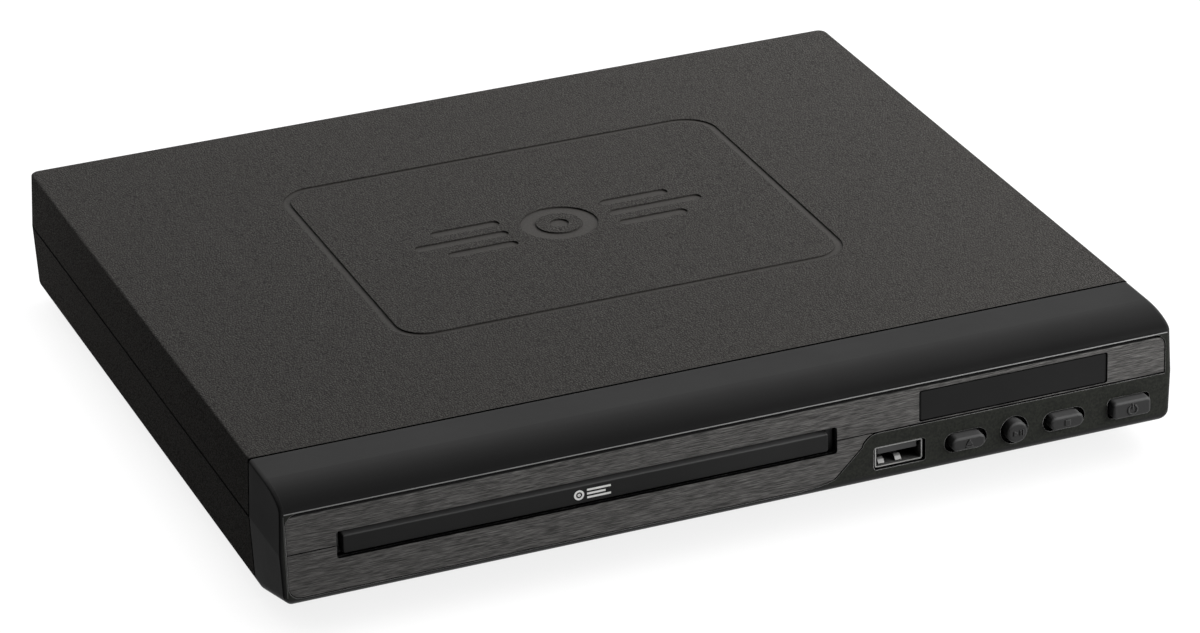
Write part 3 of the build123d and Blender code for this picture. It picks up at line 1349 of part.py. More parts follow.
nodes = {
    "top_cover": make_top_cover,
    "bottom_case": make_bottom_case,
    "front_bezel": make_bezel,
    "upper_trim": make_upper_trim,
    "lower_trim": make_lower_trim,
    "display_window": make_window,
    "rear_panel": make_rear_panel,
    "rubber_feet": make_feet,
    "case_screws": make_case_screws,
    "usb_shell": make_usb_shell,
    "usb_tongue": make_usb_tongue,
    "usb_contacts": make_usb_contacts,
    "eject_button": lambda: make_button("eject", eject_x, button_proud, stem_end),
    "play_button": lambda: make_button("play", play_x, button_proud, stem_end),
    "stop_button": lambda: make_button("stop", stop_x, button_proud, stem_end),
    "power_button": lambda: make_button("power", power_x, power_proud, power_stem_end),
    "tact_switches": make_tact_switches,
    "power_switch": make_power_switch,
    "front_board": make_front_board,
    "display_module": make_display,
    "ir_receiver": make_ir_receiver,
    "main_board": lambda: drilled_board(main_board_x, main_board_y),
    "decoder_chips": make_chips,
    "board_capacitors": make_board_capacitors,
    "rca_block": make_rca_block,
    "rca_barrels": make_rca_barrels,
    "scart_socket": make_scart,
    "mains_inlet": make_mains_inlet,
    "inlet_pins": make_inlet_pins,
    "power_board": lambda: drilled_board(power_board_x, power_board_y),
    "transformer": make_transformer,
    "power_capacitors": make_power_capacitors,
    "fuse": make_fuse,
    "heat_sink": make_heat_sink,
    "board_screws": make_board_screws,
    "ribbon_cables": make_ribbons,
    "loader_frame": make_loader_frame,
    "loader_screws": make_loader_screws,
    "clamp_bridge": make_clamp_bridge,
    "disc_tray": make_disc_tray,
    "tray_door": make_tray_door,
    "drive_gear": make_drive_gear,
    "pulley_gear": make_pulley_gear,
    "motor_pulley": make_motor_pulley,
    "drive_belt": make_drive_belt,
    "loading_motor": make_loading_motor,
    "tilt_frame": make_tilt_frame,
    "cam_slider": make_cam_slider,
    "dampers": make_dampers,
    "damper_screws": make_damper_screws,
    "mech_plate": make_mech_plate,
    "spindle_motor": make_spindle_motor,
    "turntable": make_turntable,
    "guide_rods": make_guide_rods,
    "sled_motor": make_sled_motor,
    "sled_gear": make_sled_gear,
    "sled_pinion": make_sled_pinion,
    "pickup_body": make_pickup,
    "pickup_lens": make_pickup_lens,
    "clamp_puck": make_clamp_puck,
}
for node_name, maker in nodes.items():
    save(node_name, maker())
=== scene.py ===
import math

import bmesh
import bpy
from mathutils import Matrix, Vector


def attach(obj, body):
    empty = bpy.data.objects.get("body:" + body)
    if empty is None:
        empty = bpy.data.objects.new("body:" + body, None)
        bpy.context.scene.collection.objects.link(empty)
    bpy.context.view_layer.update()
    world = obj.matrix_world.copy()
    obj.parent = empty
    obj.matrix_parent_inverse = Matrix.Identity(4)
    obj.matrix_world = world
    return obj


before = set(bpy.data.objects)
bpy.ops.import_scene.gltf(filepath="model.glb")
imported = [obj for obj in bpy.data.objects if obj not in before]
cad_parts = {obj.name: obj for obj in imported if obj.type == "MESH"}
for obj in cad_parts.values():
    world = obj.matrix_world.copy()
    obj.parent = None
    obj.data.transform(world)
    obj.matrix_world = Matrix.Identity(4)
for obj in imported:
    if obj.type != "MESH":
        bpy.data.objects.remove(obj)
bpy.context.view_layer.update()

MM = 0.001


def set_inputs(node, values):
    for socket, value in values.items():
        node.inputs[socket].default_value = value


# ---------------------------------------------------------------- camera
# Fitted to the body's corners and the lid's edges in the photograph.
CAMERA_PLACE = Vector((-0.43037, -1.12095, 0.58793))
CAMERA_FORWARD = Vector((0.32707759, 0.83862299, -0.43558206))
CAMERA_UP = Vector((0.18563037, 0.39493706, 0.8997589))
CAMERA_LENS = 150.0
SENSOR_WIDTH = 36.0
CAMERA_SHIFT = (-0.00375, 0.02703)


def make_camera():
    data = bpy.data.cameras.new("view")
    data.sensor_fit = "HORIZONTAL"
    data.sensor_width = SENSOR_WIDTH
    data.lens = CAMERA_LENS
    data.shift_x, data.shift_y = CAMERA_SHIFT
    data.clip_start = 0.01
    data.clip_end = 50.0
    camera = bpy.data.objects.new("view", data)
    right = CAMERA_FORWARD.cross(CAMERA_UP)
    turn = Matrix((right, CAMERA_UP, -CAMERA_FORWARD)).transposed().to_4x4()
    camera.matrix_world = Matrix.Translation(CAMERA_PLACE) @ turn
    bpy.context.collection.objects.link(camera)
    bpy.context.scene.camera = camera


make_camera()


# ---------------------------------------------------------------- light and floor
def soft_box(name, place, width, height, watts, mirrored):
    """Area lamp aimed at the object; mirrored tells whether glossy faces show it."""
    data = bpy.data.lights.new(name, "AREA")
    data.shape = "RECTANGLE"
    data.size = width
    data.size_y = height
    data.energy = watts
    lamp = bpy.data.objects.new(name, data)
    lamp.location = place
    lamp.rotation_euler = (-Vector(place)).to_track_quat("-Z", "Y").to_euler()
    lamp.visible_glossy = mirrored
    bpy.context.collection.objects.link(lamp)


soft_box("key", (0.38, 0.14, 0.38), 0.35, 0.35, 2.65, False)
soft_box("front_right", (0.42, -0.42, 0.22), 0.35, 0.25, 3.4, False)
soft_box("back_left", (-0.26, 0.42, 0.12), 0.2, 0.15, 0.8, False)
soft_box("back_fill", (0.15, 0.8, 0.35), 0.4, 0.3, 2.5, False)



def background_rays(tree):
    """1 for the rays that show the pale background: from the camera, off metal and through glass."""
    rays = tree.nodes.new("ShaderNodeLightPath")
    share = rays.outputs["Is Camera Ray"]
    for kind in ("Is Glossy Ray", "Is Transmission Ray"):
        either = tree.nodes.new("ShaderNodeMath")
        either.operation = "MAXIMUM"
        tree.links.new(share, either.inputs[0])
        tree.links.new(rays.outputs[kind], either.inputs[1])
        share = either.outputs[0]
    return share


BACKDROP_WAY = (0.45, 0.89, 0.0)
BACKDROP_GLOW = 0.5
BACKDROP_EDGE = 0.1
ROOM_GLOW = 0.05
LOW_SKY = 0.35
HIGH_SKY = 0.8
HIGH_SKY_SHARE = 0.1


def make_world():
    """A pale backdrop behind the object and to its right, in an otherwise dim room."""
    world = bpy.data.worlds.new("studio")
    world.use_nodes = True
    tree = world.node_tree
    way = tree.nodes.new("ShaderNodeTexCoord").outputs["Generated"]
    level = tree.nodes.new("ShaderNodeSeparateXYZ")
    tree.links.new(way, level.inputs[0])
    low = tree.nodes.new("ShaderNodeMapRange")
    low.interpolation_type = "SMOOTHSTEP"
    set_inputs(low, {"From Min": LOW_SKY, "From Max": HIGH_SKY, "To Min": 1.0, "To Max": HIGH_SKY_SHARE})
    tree.links.new(level.outputs["Z"], low.inputs["Value"])
    facing = tree.nodes.new("ShaderNodeVectorMath")
    facing.operation = "DOT_PRODUCT"
    facing.inputs[1].default_value = BACKDROP_WAY
    tree.links.new(way, facing.inputs[0])
    behind = tree.nodes.new("ShaderNodeMapRange")
    behind.interpolation_type = "SMOOTHSTEP"
    set_inputs(behind, {"From Min": BACKDROP_EDGE, "From Max": 1.0, "To Min": 0.0, "To Max": BACKDROP_GLOW})
    tree.links.new(facing.outputs["Value"], behind.inputs["Value"])
    both = tree.nodes.new("ShaderNodeMath")
    both.operation = "MULTIPLY_ADD"
    tree.links.new(low.outputs["Result"], both.inputs[0])
    tree.links.new(behind.outputs["Result"], both.inputs[1])
    both.inputs[2].default_value = ROOM_GLOW
    seen = tree.nodes.new("ShaderNodeMath")
    seen.operation = "MAXIMUM"
    tree.links.new(background_rays(tree), seen.inputs[0])
    tree.links.new(both.outputs[0], seen.inputs[1])
    background = tree.nodes["Background"]
    background.inputs["Color"].default_value = (1, 1, 1, 1)
    tree.links.new(seen.outputs[0], background.inputs["Strength"])
    bpy.context.scene.world = world


make_world()

FLOOR_SIZE = 8.0
FLOOR_SHADOW = 0.1
FLOOR_GLOW = 1.12
# Painted shadow on the floor: its glow dims next to the object, as set by the three values below.
PAINTED_SHADOW_REACH = 0.014
PAINTED_SHADOW_DIM = 0.93
PAINTED_SHADOW_DEEP = 0.3
FLOOR_PAPER = (0.9, 0.9, 0.9, 1)
FLOOR_BOUNCE = (0.2, 0.2, 0.2, 1)


def make_floor():
    mesh = bpy.data.meshes.new("floor")
    half = FLOOR_SIZE / 2
    corners = [(-half, -half, 0), (half, -half, 0), (half, half, 0), (-half, half, 0)]
    mesh.from_pydata(corners, [], [(0, 1, 2, 3)])
    floor = bpy.data.objects.new("floor", mesh)
    bpy.context.collection.objects.link(floor)
    material = bpy.data.materials.new("floor_paper")
    material.use_nodes = True
    tree = material.node_tree
    pale_share = background_rays(tree)
    shader = tree.nodes["Principled BSDF"]
    shader.inputs["Roughness"].default_value = 0.9
    shader.inputs["Specular IOR Level"].default_value = 0.0
    paper = tree.nodes.new("ShaderNodeMix")
    paper.data_type = "RGBA"
    paper.inputs[6].default_value = FLOOR_BOUNCE
    paper.inputs[7].default_value = FLOOR_PAPER
    tree.links.new(pale_share, paper.inputs[0])
    tree.links.new(paper.outputs[2], shader.inputs["Base Color"])
    # Painted shadow: ambient occlusion dims the floor's glow where the floor lies close to the object.
    near = tree.nodes.new("ShaderNodeAmbientOcclusion")
    near.samples = 8
    near.inputs["Distance"].default_value = PAINTED_SHADOW_REACH
    painted_shadow_glow = tree.nodes.new("ShaderNodeMapRange")
    set_inputs(painted_shadow_glow, {"From Min": PAINTED_SHADOW_DEEP, "From Max": 1.0,
                       "To Min": PAINTED_SHADOW_DIM, "To Max": FLOOR_GLOW})
    tree.links.new(near.outputs["AO"], painted_shadow_glow.inputs["Value"])
    glow = tree.nodes.new("ShaderNodeEmission")
    glow.inputs["Color"].default_value = (1, 1, 1, 1)
    tree.links.new(painted_shadow_glow.outputs["Result"], glow.inputs["Strength"])
    share = tree.nodes.new("ShaderNodeMath")
    share.operation = "MULTIPLY"
    share.inputs[1].default_value = 1.0 - FLOOR_SHADOW
    mix = tree.nodes.new("ShaderNodeMixShader")
    tree.links.new(pale_share, share.inputs[0])
    tree.links.new(share.outputs[0], mix.inputs["Fac"])
    tree.links.new(shader.outputs["BSDF"], mix.inputs[1])
    tree.links.new(glow.outputs["Emission"], mix.inputs[2])
    tree.links.new(mix.outputs["Shader"], tree.nodes["Material Output"].inputs["Surface"])
    mesh.materials.append(material)


make_floor()
bpy.context.scene.view_settings.view_transform = "Standard"


# ---------------------------------------------------------------- places that finishes, painted shade and painted highlights follow
# Bands on the object in metres, as (low, high) along the axis that ends the name.
ENGRAVED_X = (-0.0645, 0.0645)
ENGRAVED_Y = (-0.0392, 0.0652)
ENGRAVED_Z = (0.0381, 0.0386)
# Painted shade: the next three bands, at the shell joint, the lid's front joint and the rear tongue, are
# painted near black where shade falls in the gaps.
SHELL_SEAM_Z = (0.0228, 0.0235)
LID_FRONT_Y = (-0.0836, -0.0833)
TONGUE_Y = (-0.0843, -0.07)
FIELD_Y = (-0.1076, -0.10745)
FIELD_Z = (0.0, 0.0345)
# Painted highlight: the next five bands mark thin lines painted bright along the lower front edge of the
# curve and down the left end.
LIP_X = (-0.1185, 0.1185)
LIP_Z = (0.03445, 0.0347)
LEFT_LINE_X = (-0.1188, -0.1186)
LEFT_LINE_Y = (-0.1076, -0.1065)
LEFT_LINE_Z = (0.012, 0.034)
# Painted shade: the strip's side walls in this band are painted near black.
STRIP_WALL_Y = (-0.1070, -0.105)
# Painted shade: outside this band the window is painted near black, in the gap around it.
WINDOW_FACE_X = (0.0497, 0.101)
FIRST_LINER_END_X = -0.0928
SECOND_LINER_END_X = -0.0803


# ---------------------------------------------------------------- material builder
class Surface:
    """One Principled material, built from a few procedural layers in object space (metres)."""

    def __init__(self, name, roughness=0.5, **sockets):
        self.material = bpy.data.materials.new(name)
        self.material.use_nodes = True
        self.tree = self.material.node_tree
        self.shader = self.tree.nodes["Principled BSDF"]
        self.place = self.tree.nodes.new("ShaderNodeTexCoord").outputs["Object"]
        self.shader.inputs["Roughness"].default_value = roughness
        for socket, value in sockets.items():
            self.shader.inputs[socket.replace("_", " ")].default_value = value

    def add(self, kind, inputs=(), **settings):
        """New node; inputs maps sockets to values or to other nodes' outputs."""
        node = self.tree.nodes.new(kind)
        for key, value in settings.items():
            setattr(node, key, value)
        for socket, value in dict(inputs).items():
            if isinstance(value, bpy.types.NodeSocket):
                self.tree.links.new(value, node.inputs[socket])
            else:
                node.inputs[socket].default_value = value
        return node

    def stretched(self, scale):
        return self.add("ShaderNodeMapping", {"Vector": self.place, "Scale": scale}).outputs["Vector"]

    def noise(self, scale, detail=3.0, rough=0.55, vector=None, warp=0.0):
        inputs = {"Vector": vector or self.place, "Scale": scale, "Detail": detail,
                  "Roughness": rough, "Distortion": warp}
        return self.add("ShaderNodeTexNoise", inputs).outputs["Fac"]

    def cells(self, scale, feature="F1", vector=None, random=1.0):
        node = self.add("ShaderNodeTexVoronoi", {"Vector": vector or self.place, "Scale": scale,
                                                 "Randomness": random}, feature=feature)
        return node.outputs["Distance"]

    def span(self, value, low, high, out_low, out_high):
        node = self.add("ShaderNodeMapRange", {"Value": value, "From Min": low, "From Max": high,
                                               "To Min": out_low, "To Max": out_high})
        return node.outputs["Result"]

    def math(self, operation, first, second=0.0, third=0.0):
        inputs = {0: first, 1: second, 2: third}
        return self.add("ShaderNodeMath", inputs, operation=operation).outputs[0]

    def blend(self, factor, first, second):
        node = self.add("ShaderNodeMix", {0: factor, 6: first, 7: second}, data_type="RGBA")
        return node.outputs[2]

    def edges(self, radius):
        """1 on sharp edges, 0 on flats, from the shape itself."""
        soft = self.add("ShaderNodeBevel", {"Radius": radius}, samples=4)
        flat = self.add("ShaderNodeNewGeometry")
        turn = self.add("ShaderNodeVectorMath", {0: soft.outputs["Normal"], 1: flat.outputs["Normal"]},
                        operation="DOT_PRODUCT")
        return self.span(turn.outputs["Value"], 1.0, 0.9, 0.0, 1.0)

    def recess(self, reach):
        """0 deep in gaps, wells and slots, 1 on open faces; it sets where shade is painted, and reach is the
        depth that counts.
        """
        node = self.add("ShaderNodeAmbientOcclusion", {"Distance": reach}, samples=6)
        return self.span(node.outputs["AO"], 0.25, 0.8, 0.0, 1.0)

    def within(self, axis, low, high, soft=0.00005):
        """1 where the named coordinate lies between two values."""
        value = self.add("ShaderNodeSeparateXYZ", {0: self.place}).outputs[axis]
        above = self.span(value, low - soft, low + soft, 0.0, 1.0)
        below = self.span(value, high - soft, high + soft, 1.0, 0.0)
        return self.math("MULTIPLY", above, below)

    def upward(self):
        """1 on faces that look up, 0 on upright ones."""
        facing = self.add("ShaderNodeNewGeometry").outputs["Normal"]
        return self.span(self.add("ShaderNodeSeparateXYZ", {0: facing}).outputs["Z"], 0.25, 0.8, 0.0, 1.0)

    def end_walls(self):
        """Near 1 on walls that look left or right, 0 on the others."""
        facing = self.add("ShaderNodeNewGeometry").outputs["Normal"]
        sideways = self.math("ABSOLUTE", self.add("ShaderNodeSeparateXYZ", {0: facing}).outputs["X"])
        return self.span(sideways, 0.5, 0.9, 0.0, 0.97)

    def with_painted_shade(self, colour, reach, dull_ends=False):
        """Colour and shine with painted shade: both sink towards black in recesses, where shade falls;
        dull_ends takes the shine off the end walls.
        """
        open_share = self.recess(reach)
        self.colour(self.blend(open_share, grey(0.001), colour))
        level = self.shader.inputs["Specular IOR Level"]
        shine = self.math("MULTIPLY", open_share, level.default_value)
        if dull_ends:
            shine = self.math("MULTIPLY", shine, self.math("SUBTRACT", 1.0, self.end_walls()))
        self.tree.links.new(shine, level)

    def colour(self, value):
        self.tree.links.new(value, self.shader.inputs["Base Color"])

    def roughness(self, value):
        self.tree.links.new(value, self.shader.inputs["Roughness"])

    def relief(self, height, distance, strength=1.0, round_edges=0.0):
        inputs = {"Height": height, "Distance": distance, "Strength": strength}
        if round_edges:
            rounded = self.add("ShaderNodeBevel", {"Radius": round_edges}, samples=4)
            inputs["Normal"] = rounded.outputs["Normal"]
        bump = self.add("ShaderNodeBump", inputs)
        self.tree.links.new(bump.outputs["Normal"], self.shader.inputs["Normal"])


def grey(value, warm=0.0):
    return (value * (1 + warm), value, value * (1 - warm), 1.0)


# ---------------------------------------------------------------- finishes
def leather_grain():
    """Moulded charcoal plastic with fine leather-like pebbles, smooth in the engraving, with painted shade in
    the seams and recesses and edges lightened partly by wear and partly by painted highlight.
    """
    s = Surface("grained_charcoal", 0.55, Specular_IOR_Level=0.02)
    drift = s.add("ShaderNodeTexNoise", {"Vector": s.place, "Scale": 1100.0, "Detail": 2.0})
    shift = s.add("ShaderNodeVectorMath", {0: drift.outputs["Color"], "Scale": 0.0004}, operation="SCALE")
    warped = s.add("ShaderNodeVectorMath", {0: s.place, 1: shift.outputs["Vector"]}, operation="ADD")
    warped = warped.outputs["Vector"]
    pebbles = s.cells(2800.0, "SMOOTH_F1", warped)
    valley = s.span(s.cells(1350.0, "DISTANCE_TO_EDGE", warped), 0.0, 0.22, 0.0, 1.0)
    fine = s.noise(5200.0, 2.0)
    height = s.math("ADD", s.math("MULTIPLY", pebbles, -0.8), s.math("MULTIPLY", valley, 0.6))
    height = s.math("ADD", height, s.math("MULTIPLY", fine, 0.2))
    sides = s.within("X", *ENGRAVED_X)
    ends = s.within("Y", *ENGRAVED_Y)
    engraved = s.math("MULTIPLY", s.math("MULTIPLY", sides, ends), s.within("Z", *ENGRAVED_Z))
    open_face = s.math("SUBTRACT", 1.0, engraved)
    height = s.math("MULTIPLY", height, open_face)
    cloud = s.noise(14.0, 4.0, 0.6)
    tone = s.math("ADD", s.math("MULTIPLY", valley, 0.5), s.math("MULTIPLY", s.noise(1300.0, 3.0), 0.5))
    base = s.blend(s.span(tone, 0.2, 0.8, 0.0, 1.0), grey(0.016, 0.05), grey(0.068, 0.05))
    base = s.blend(s.span(cloud, 0.35, 0.7, 0.0, 0.25), base, grey(0.062, 0.05))
    base = s.blend(s.math("MULTIPLY", engraved, 0.7), base, grey(0.066, 0.05))
    # Edges lightened partly as wear and partly as a painted highlight.
    wear_and_glint = s.math("MULTIPLY", s.edges(0.0004), s.span(s.noise(160.0, 4.0), 0.35, 0.7, 0.05, 0.3))
    base = s.blend(wear_and_glint, base, grey(0.1, 0.05))
    # Painted shade: near black along the shell joint and the lid's front joint, where shade falls in the gap.
    painted_seam_shade = s.math("MAXIMUM", s.within("Z", *SHELL_SEAM_Z), s.within("Y", *LID_FRONT_Y))
    s.with_painted_shade(s.blend(painted_seam_shade, base, grey(0.0008)), 0.0005, dull_ends=True)
    s.roughness(s.math("ADD", s.span(cloud, 0.3, 0.7, 0.5, 0.62), s.math("MULTIPLY", engraved, -0.12)))
    s.relief(height, 0.00022, 1.0, 0.0002)
    return s.material


def satin_black(name, dark, light, rough, specular=0.4, grain=2600.0, glint=3.0, reach=0.0025, top=0.0):
    """Smooth moulded black plastic, clouded, with edges lightened partly by wear and partly by painted
    highlight; top paints a highlight on the faces that look up, and reach sets the painted shade in recesses.
    """
    s = Surface(name, rough, Specular_IOR_Level=specular)
    cloud = s.noise(22.0, 4.0, 0.6)
    speck = s.noise(grain, 2.0)
    base = s.blend(s.span(cloud, 0.3, 0.7, 0.0, 1.0), grey(dark), grey(light))
    # Edges lightened partly as wear and partly as a painted highlight.
    wear_and_glint = s.math("MULTIPLY", s.edges(0.0003), s.span(s.noise(220.0, 4.0), 0.35, 0.7, 0.35, 0.8))
    base = s.blend(wear_and_glint, base, grey(light * glint))
    # Painted highlight: faces that look up are lightened by top; the painted shade in recesses follows from
    # reach.
    s.with_painted_shade(s.blend(s.math("MULTIPLY", s.upward(), top), base, grey(light * glint)), reach)
    s.roughness(s.span(s.noise(60.0, 5.0, 0.65), 0.3, 0.7, rough - 0.05, rough + 0.07))
    s.relief(speck, 0.00004, 0.35, 0.0003)
    return s.material


def front_moulding():
    """Satin on the curved top, fine grain on the flat field, painted highlights on the edges, along the
    curve's lower front edge and on the left end, and painted shade on the rear tongue in the gap and in
    recesses.
    """
    s = Surface("front_moulding", 0.34, Specular_IOR_Level=0.1)
    field = s.math("MULTIPLY", s.within("Y", *FIELD_Y), s.within("Z", *FIELD_Z))
    cloud = s.noise(22.0, 4.0, 0.6)
    base = s.blend(s.span(cloud, 0.3, 0.7, 0.0, 1.0), grey(0.006), grey(0.009))
    base = s.blend(s.math("MULTIPLY", field, s.span(s.noise(1500.0, 3.0), 0.35, 0.65, 0.3, 1.0)), base,
                   (0.023, 0.0245, 0.0205, 1))
    # Painted highlight: thin bright lines on the sharp edges.
    lines = s.math("MULTIPLY", s.edges(0.0003), s.span(s.noise(90.0, 4.0), 0.3, 0.7, 0.5, 1.0))
    base = s.blend(lines, base, grey(0.34, 0.01))
    # Painted highlight: a bright line along the lower front edge of the curve, weaker down the left end.
    lip_highlight = s.math("MULTIPLY", s.within("Z", *LIP_Z), s.within("X", *LIP_X))
    low_end = s.math("MULTIPLY", s.within("X", *LEFT_LINE_X), s.within("Z", *LEFT_LINE_Z))
    end_highlight = s.math("MULTIPLY", low_end, s.within("Y", *LEFT_LINE_Y))
    lip_highlight = s.math("MAXIMUM", lip_highlight, s.math("MULTIPLY", end_highlight, 0.25))
    base = s.blend(s.math("MULTIPLY", lip_highlight, 0.8), base, grey(0.42))
    # Painted shade: the rear tongue in the gap behind the lid is painted near black.
    tongue = s.within("Y", *TONGUE_Y)
    s.with_painted_shade(s.blend(tongue, base, grey(0.0005)), 0.0025, dull_ends=True)
    smears = s.span(s.noise(60.0, 5.0, 0.65), 0.3, 0.7, 0.3, 0.38)
    s.roughness(s.math("ADD", smears, s.math("MULTIPLY", field, 0.18)))
    grain = s.math("MULTIPLY", s.noise(2300.0, 3.0), s.math("MULTIPLY_ADD", field, 0.8, 0.2))
    s.relief(grain, 0.0001, 0.5, 0.00025)
    return s.material


def brushed_strip():
    """Dark strip with horizontal brush lines, edges lightened partly by wear and partly by painted highlight,
    and painted shade on its side walls and in recesses.
    """
    s = Surface("brushed_strip", 0.42, Specular_IOR_Level=0.15)
    fine = s.noise(1.0, 3.0, 0.6, s.stretched((130.0, 300.0, 7600.0)))
    broad = s.noise(1.0, 4.0, 0.55, s.stretched((40.0, 100.0, 1900.0)))
    dashes = s.noise(1.0, 2.0, 0.5, s.stretched((330.0, 300.0, 6800.0)))
    lines = s.math("ADD", s.math("MULTIPLY", fine, 0.5), s.math("MULTIPLY", broad, 0.05))
    lines = s.math("ADD", lines, s.math("MULTIPLY", dashes, 0.38))
    tone = s.span(lines, 0.41, 0.59, 0.0, 1.0)
    base = s.blend(tone, grey(0.036, 0.03), grey(0.19, 0.03))
    # Edges lightened partly as wear and partly as a painted highlight.
    wear_and_glint = s.math("MULTIPLY", s.edges(0.0002), 0.5)
    base = s.blend(wear_and_glint, base, grey(0.16))
    # Painted shade: the side walls are painted near black, and recesses sink towards black.
    s.with_painted_shade(s.blend(s.within("Y", *STRIP_WALL_Y), base, grey(0.0008)), 0.0008)
    s.roughness(s.span(lines, 0.35, 0.65, 0.5, 0.34))
    s.relief(lines, 0.00003, 0.5, 0.0002)
    return s.material


def dark_window():
    """Polished smoke plastic, painted near black outside its front face as shade in the gap around it."""
    s = Surface("smoke_window", 0.12, Specular_IOR_Level=0.12)
    cloud = s.noise(30.0, 4.0)
    base = s.blend(s.span(cloud, 0.3, 0.7, 0.0, 1.0), grey(0.008), grey(0.012))
    # Painted shade: outside the window's front face the plastic is painted near black.
    s.colour(s.blend(s.within("X", *WINDOW_FACE_X), grey(0.0008), base))
    s.roughness(s.span(s.noise(90.0, 6.0, 0.7), 0.35, 0.65, 0.1, 0.22))
    s.relief(s.noise(40.0, 2.0), 0.00002, 0.2, 0.0002)
    return s.material


def metal(name, colour, rough, scale=900.0, metallic=1.0, reach=0.003):
    """Plated or bare metal, clouded, with painted shade in the recesses; a low metallic keeps it pale in a
    dim room.
    """
    s = Surface(name, rough, Metallic=metallic)
    cloud = s.noise(120.0, 5.0)
    dim = tuple(c * 0.72 for c in colour[:3]) + (1.0,)
    s.with_painted_shade(s.blend(s.span(cloud, 0.3, 0.7, 0.0, 1.0), dim, colour), reach)
    s.roughness(s.span(s.noise(scale, 4.0), 0.3, 0.7, rough * 0.7, rough * 1.3))
    s.relief(s.noise(scale, 3.0), 0.00002, 0.3, 0.00015)
    return s.material


def moulded(name, colour, rough=0.45, grain=1800.0):
    """Plain coloured plastic with a faint mould texture."""
    s = Surface(name, rough)
    dim = tuple(c * 0.8 for c in colour[:3]) + (1.0,)
    s.colour(s.blend(s.span(s.noise(70.0, 5.0), 0.3, 0.7, 0.0, 1.0), dim, colour))
    s.roughness(s.span(s.noise(200.0, 4.0), 0.3, 0.7, rough - 0.08, rough + 0.1))
    s.relief(s.noise(grain, 3.0), 0.00004, 0.4, 0.0002)
    return s.material


def circuit_board(name, mask, track):
    """Lacquered board with copper tracks showing through."""
    s = Surface(name, 0.35)
    grid = s.add("ShaderNodeTexBrick", {"Vector": s.place, "Scale": 160.0, "Mortar Size": 0.05,
                                        "Color1": (1, 1, 1, 1), "Color2": (1, 1, 1, 1),
                                        "Mortar": (0, 0, 0, 1)})
    paths = s.math("MULTIPLY", grid.outputs["Fac"], s.span(s.noise(140.0, 1.0), 0.45, 0.55, 0.0, 1.0))
    dim = tuple(c * 0.6 for c in mask[:3]) + (1,)
    base = s.blend(s.span(s.noise(60.0, 4.0), 0.3, 0.7, 0.0, 0.4), mask, dim)
    s.colour(s.blend(paths, base, track))
    s.relief(paths, 0.00005, 0.5, 0.0002)
    return s.material


def rubber():
    s = Surface("rubber", 0.85, Specular_IOR_Level=0.25)
    s.colour(s.blend(s.span(s.noise(180.0, 5.0), 0.3, 0.7, 0.0, 1.0), grey(0.012), grey(0.022)))
    s.relief(s.noise(2600.0, 4.0), 0.00008, 0.6, 0.0004)
    return s.material


def rear_sockets():
    """Black socket block with one coloured liner for each barrel, told apart by X."""
    s = Surface("socket_block", 0.4)
    x = s.add("ShaderNodeSeparateXYZ", {0: s.place}).outputs["X"]
    yellow = (0.62, 0.42, 0.02, 1)
    white = (0.6, 0.6, 0.58, 1)
    red = (0.42, 0.02, 0.02, 1)
    left = s.math("LESS_THAN", x, FIRST_LINER_END_X)
    middle = s.math("LESS_THAN", x, SECOND_LINER_END_X)
    tint = s.blend(middle, red, white)
    tint = s.blend(left, tint, yellow)
    s.colour(s.blend(s.span(s.noise(300.0, 4.0), 0.3, 0.7, 0.0, 0.25), tint, grey(0.05)))
    s.relief(s.noise(2200.0, 3.0), 0.00004, 0.4, 0.0002)
    return s.material


def clear_glass():
    s = Surface("clear_glass", 0.05, Transmission_Weight=0.9, IOR=1.5)
    s.roughness(s.span(s.noise(300.0, 4.0), 0.3, 0.7, 0.02, 0.1))
    s.colour(s.blend(s.noise(90.0, 3.0), (0.8, 0.86, 0.9, 1), (0.7, 0.78, 0.84, 1)))
    return s.material


charcoal = leather_grain()
front_black = front_moulding()
satin = satin_black("satin_black", 0.012, 0.018, 0.36, 0.15)
glossy_black = satin_black("tray_black", 0.012, 0.017, 0.3, 0.12, glint=5.0)
# The door and the buttons get a painted highlight on their upward faces (top) and painted shade in their
# recesses and around the symbols (reach).
door_black = satin_black("door_black", 0.018, 0.026, 0.42, 0.06,
                         grain=1700.0, glint=5.0, reach=0.0008, top=0.8)
button_black = satin_black("button_black", 0.026, 0.034, 0.36, 0.12, glint=5.0, reach=0.0007, top=0.6)
# Painted shade: the port's plate sinks to black deep inside the opening.
port_plate = metal("port_plate", (0.45, 0.45, 0.44, 1), 0.4, metallic=0.3, reach=0.008)
strip = brushed_strip()
window = dark_window()
nickel = metal("nickel_plate", (0.66, 0.65, 0.63, 1), 0.22)
steel = metal("steel_sheet", (0.55, 0.55, 0.54, 1), 0.36)
zinc = metal("zinc_screws", (0.42, 0.42, 0.43, 1), 0.35)
gold = metal("gold_contacts", (0.83, 0.62, 0.25, 1), 0.25)
aluminium = metal("aluminium", (0.6, 0.6, 0.62, 1), 0.3)
black_part = moulded("black_moulding", grey(0.022), 0.45)
grey_part = moulded("grey_moulding", grey(0.06), 0.5)
acetal = moulded("acetal", (0.72, 0.71, 0.66, 1), 0.4)
pale_tape = moulded("winding_tape", (0.55, 0.42, 0.06, 1), 0.5)
flat_cable = moulded("flat_cable", (0.6, 0.6, 0.58, 1), 0.45)
lens_plate = moulded("display_plate", grey(0.05), 0.3)
green_board = circuit_board("green_board", (0.012, 0.09, 0.035, 1), (0.06, 0.2, 0.07, 1))
brown_board = circuit_board("brown_board", (0.3, 0.17, 0.06, 1), (0.42, 0.27, 0.1, 1))
rubber_black = rubber()
sockets = rear_sockets()
glass = clear_glass()

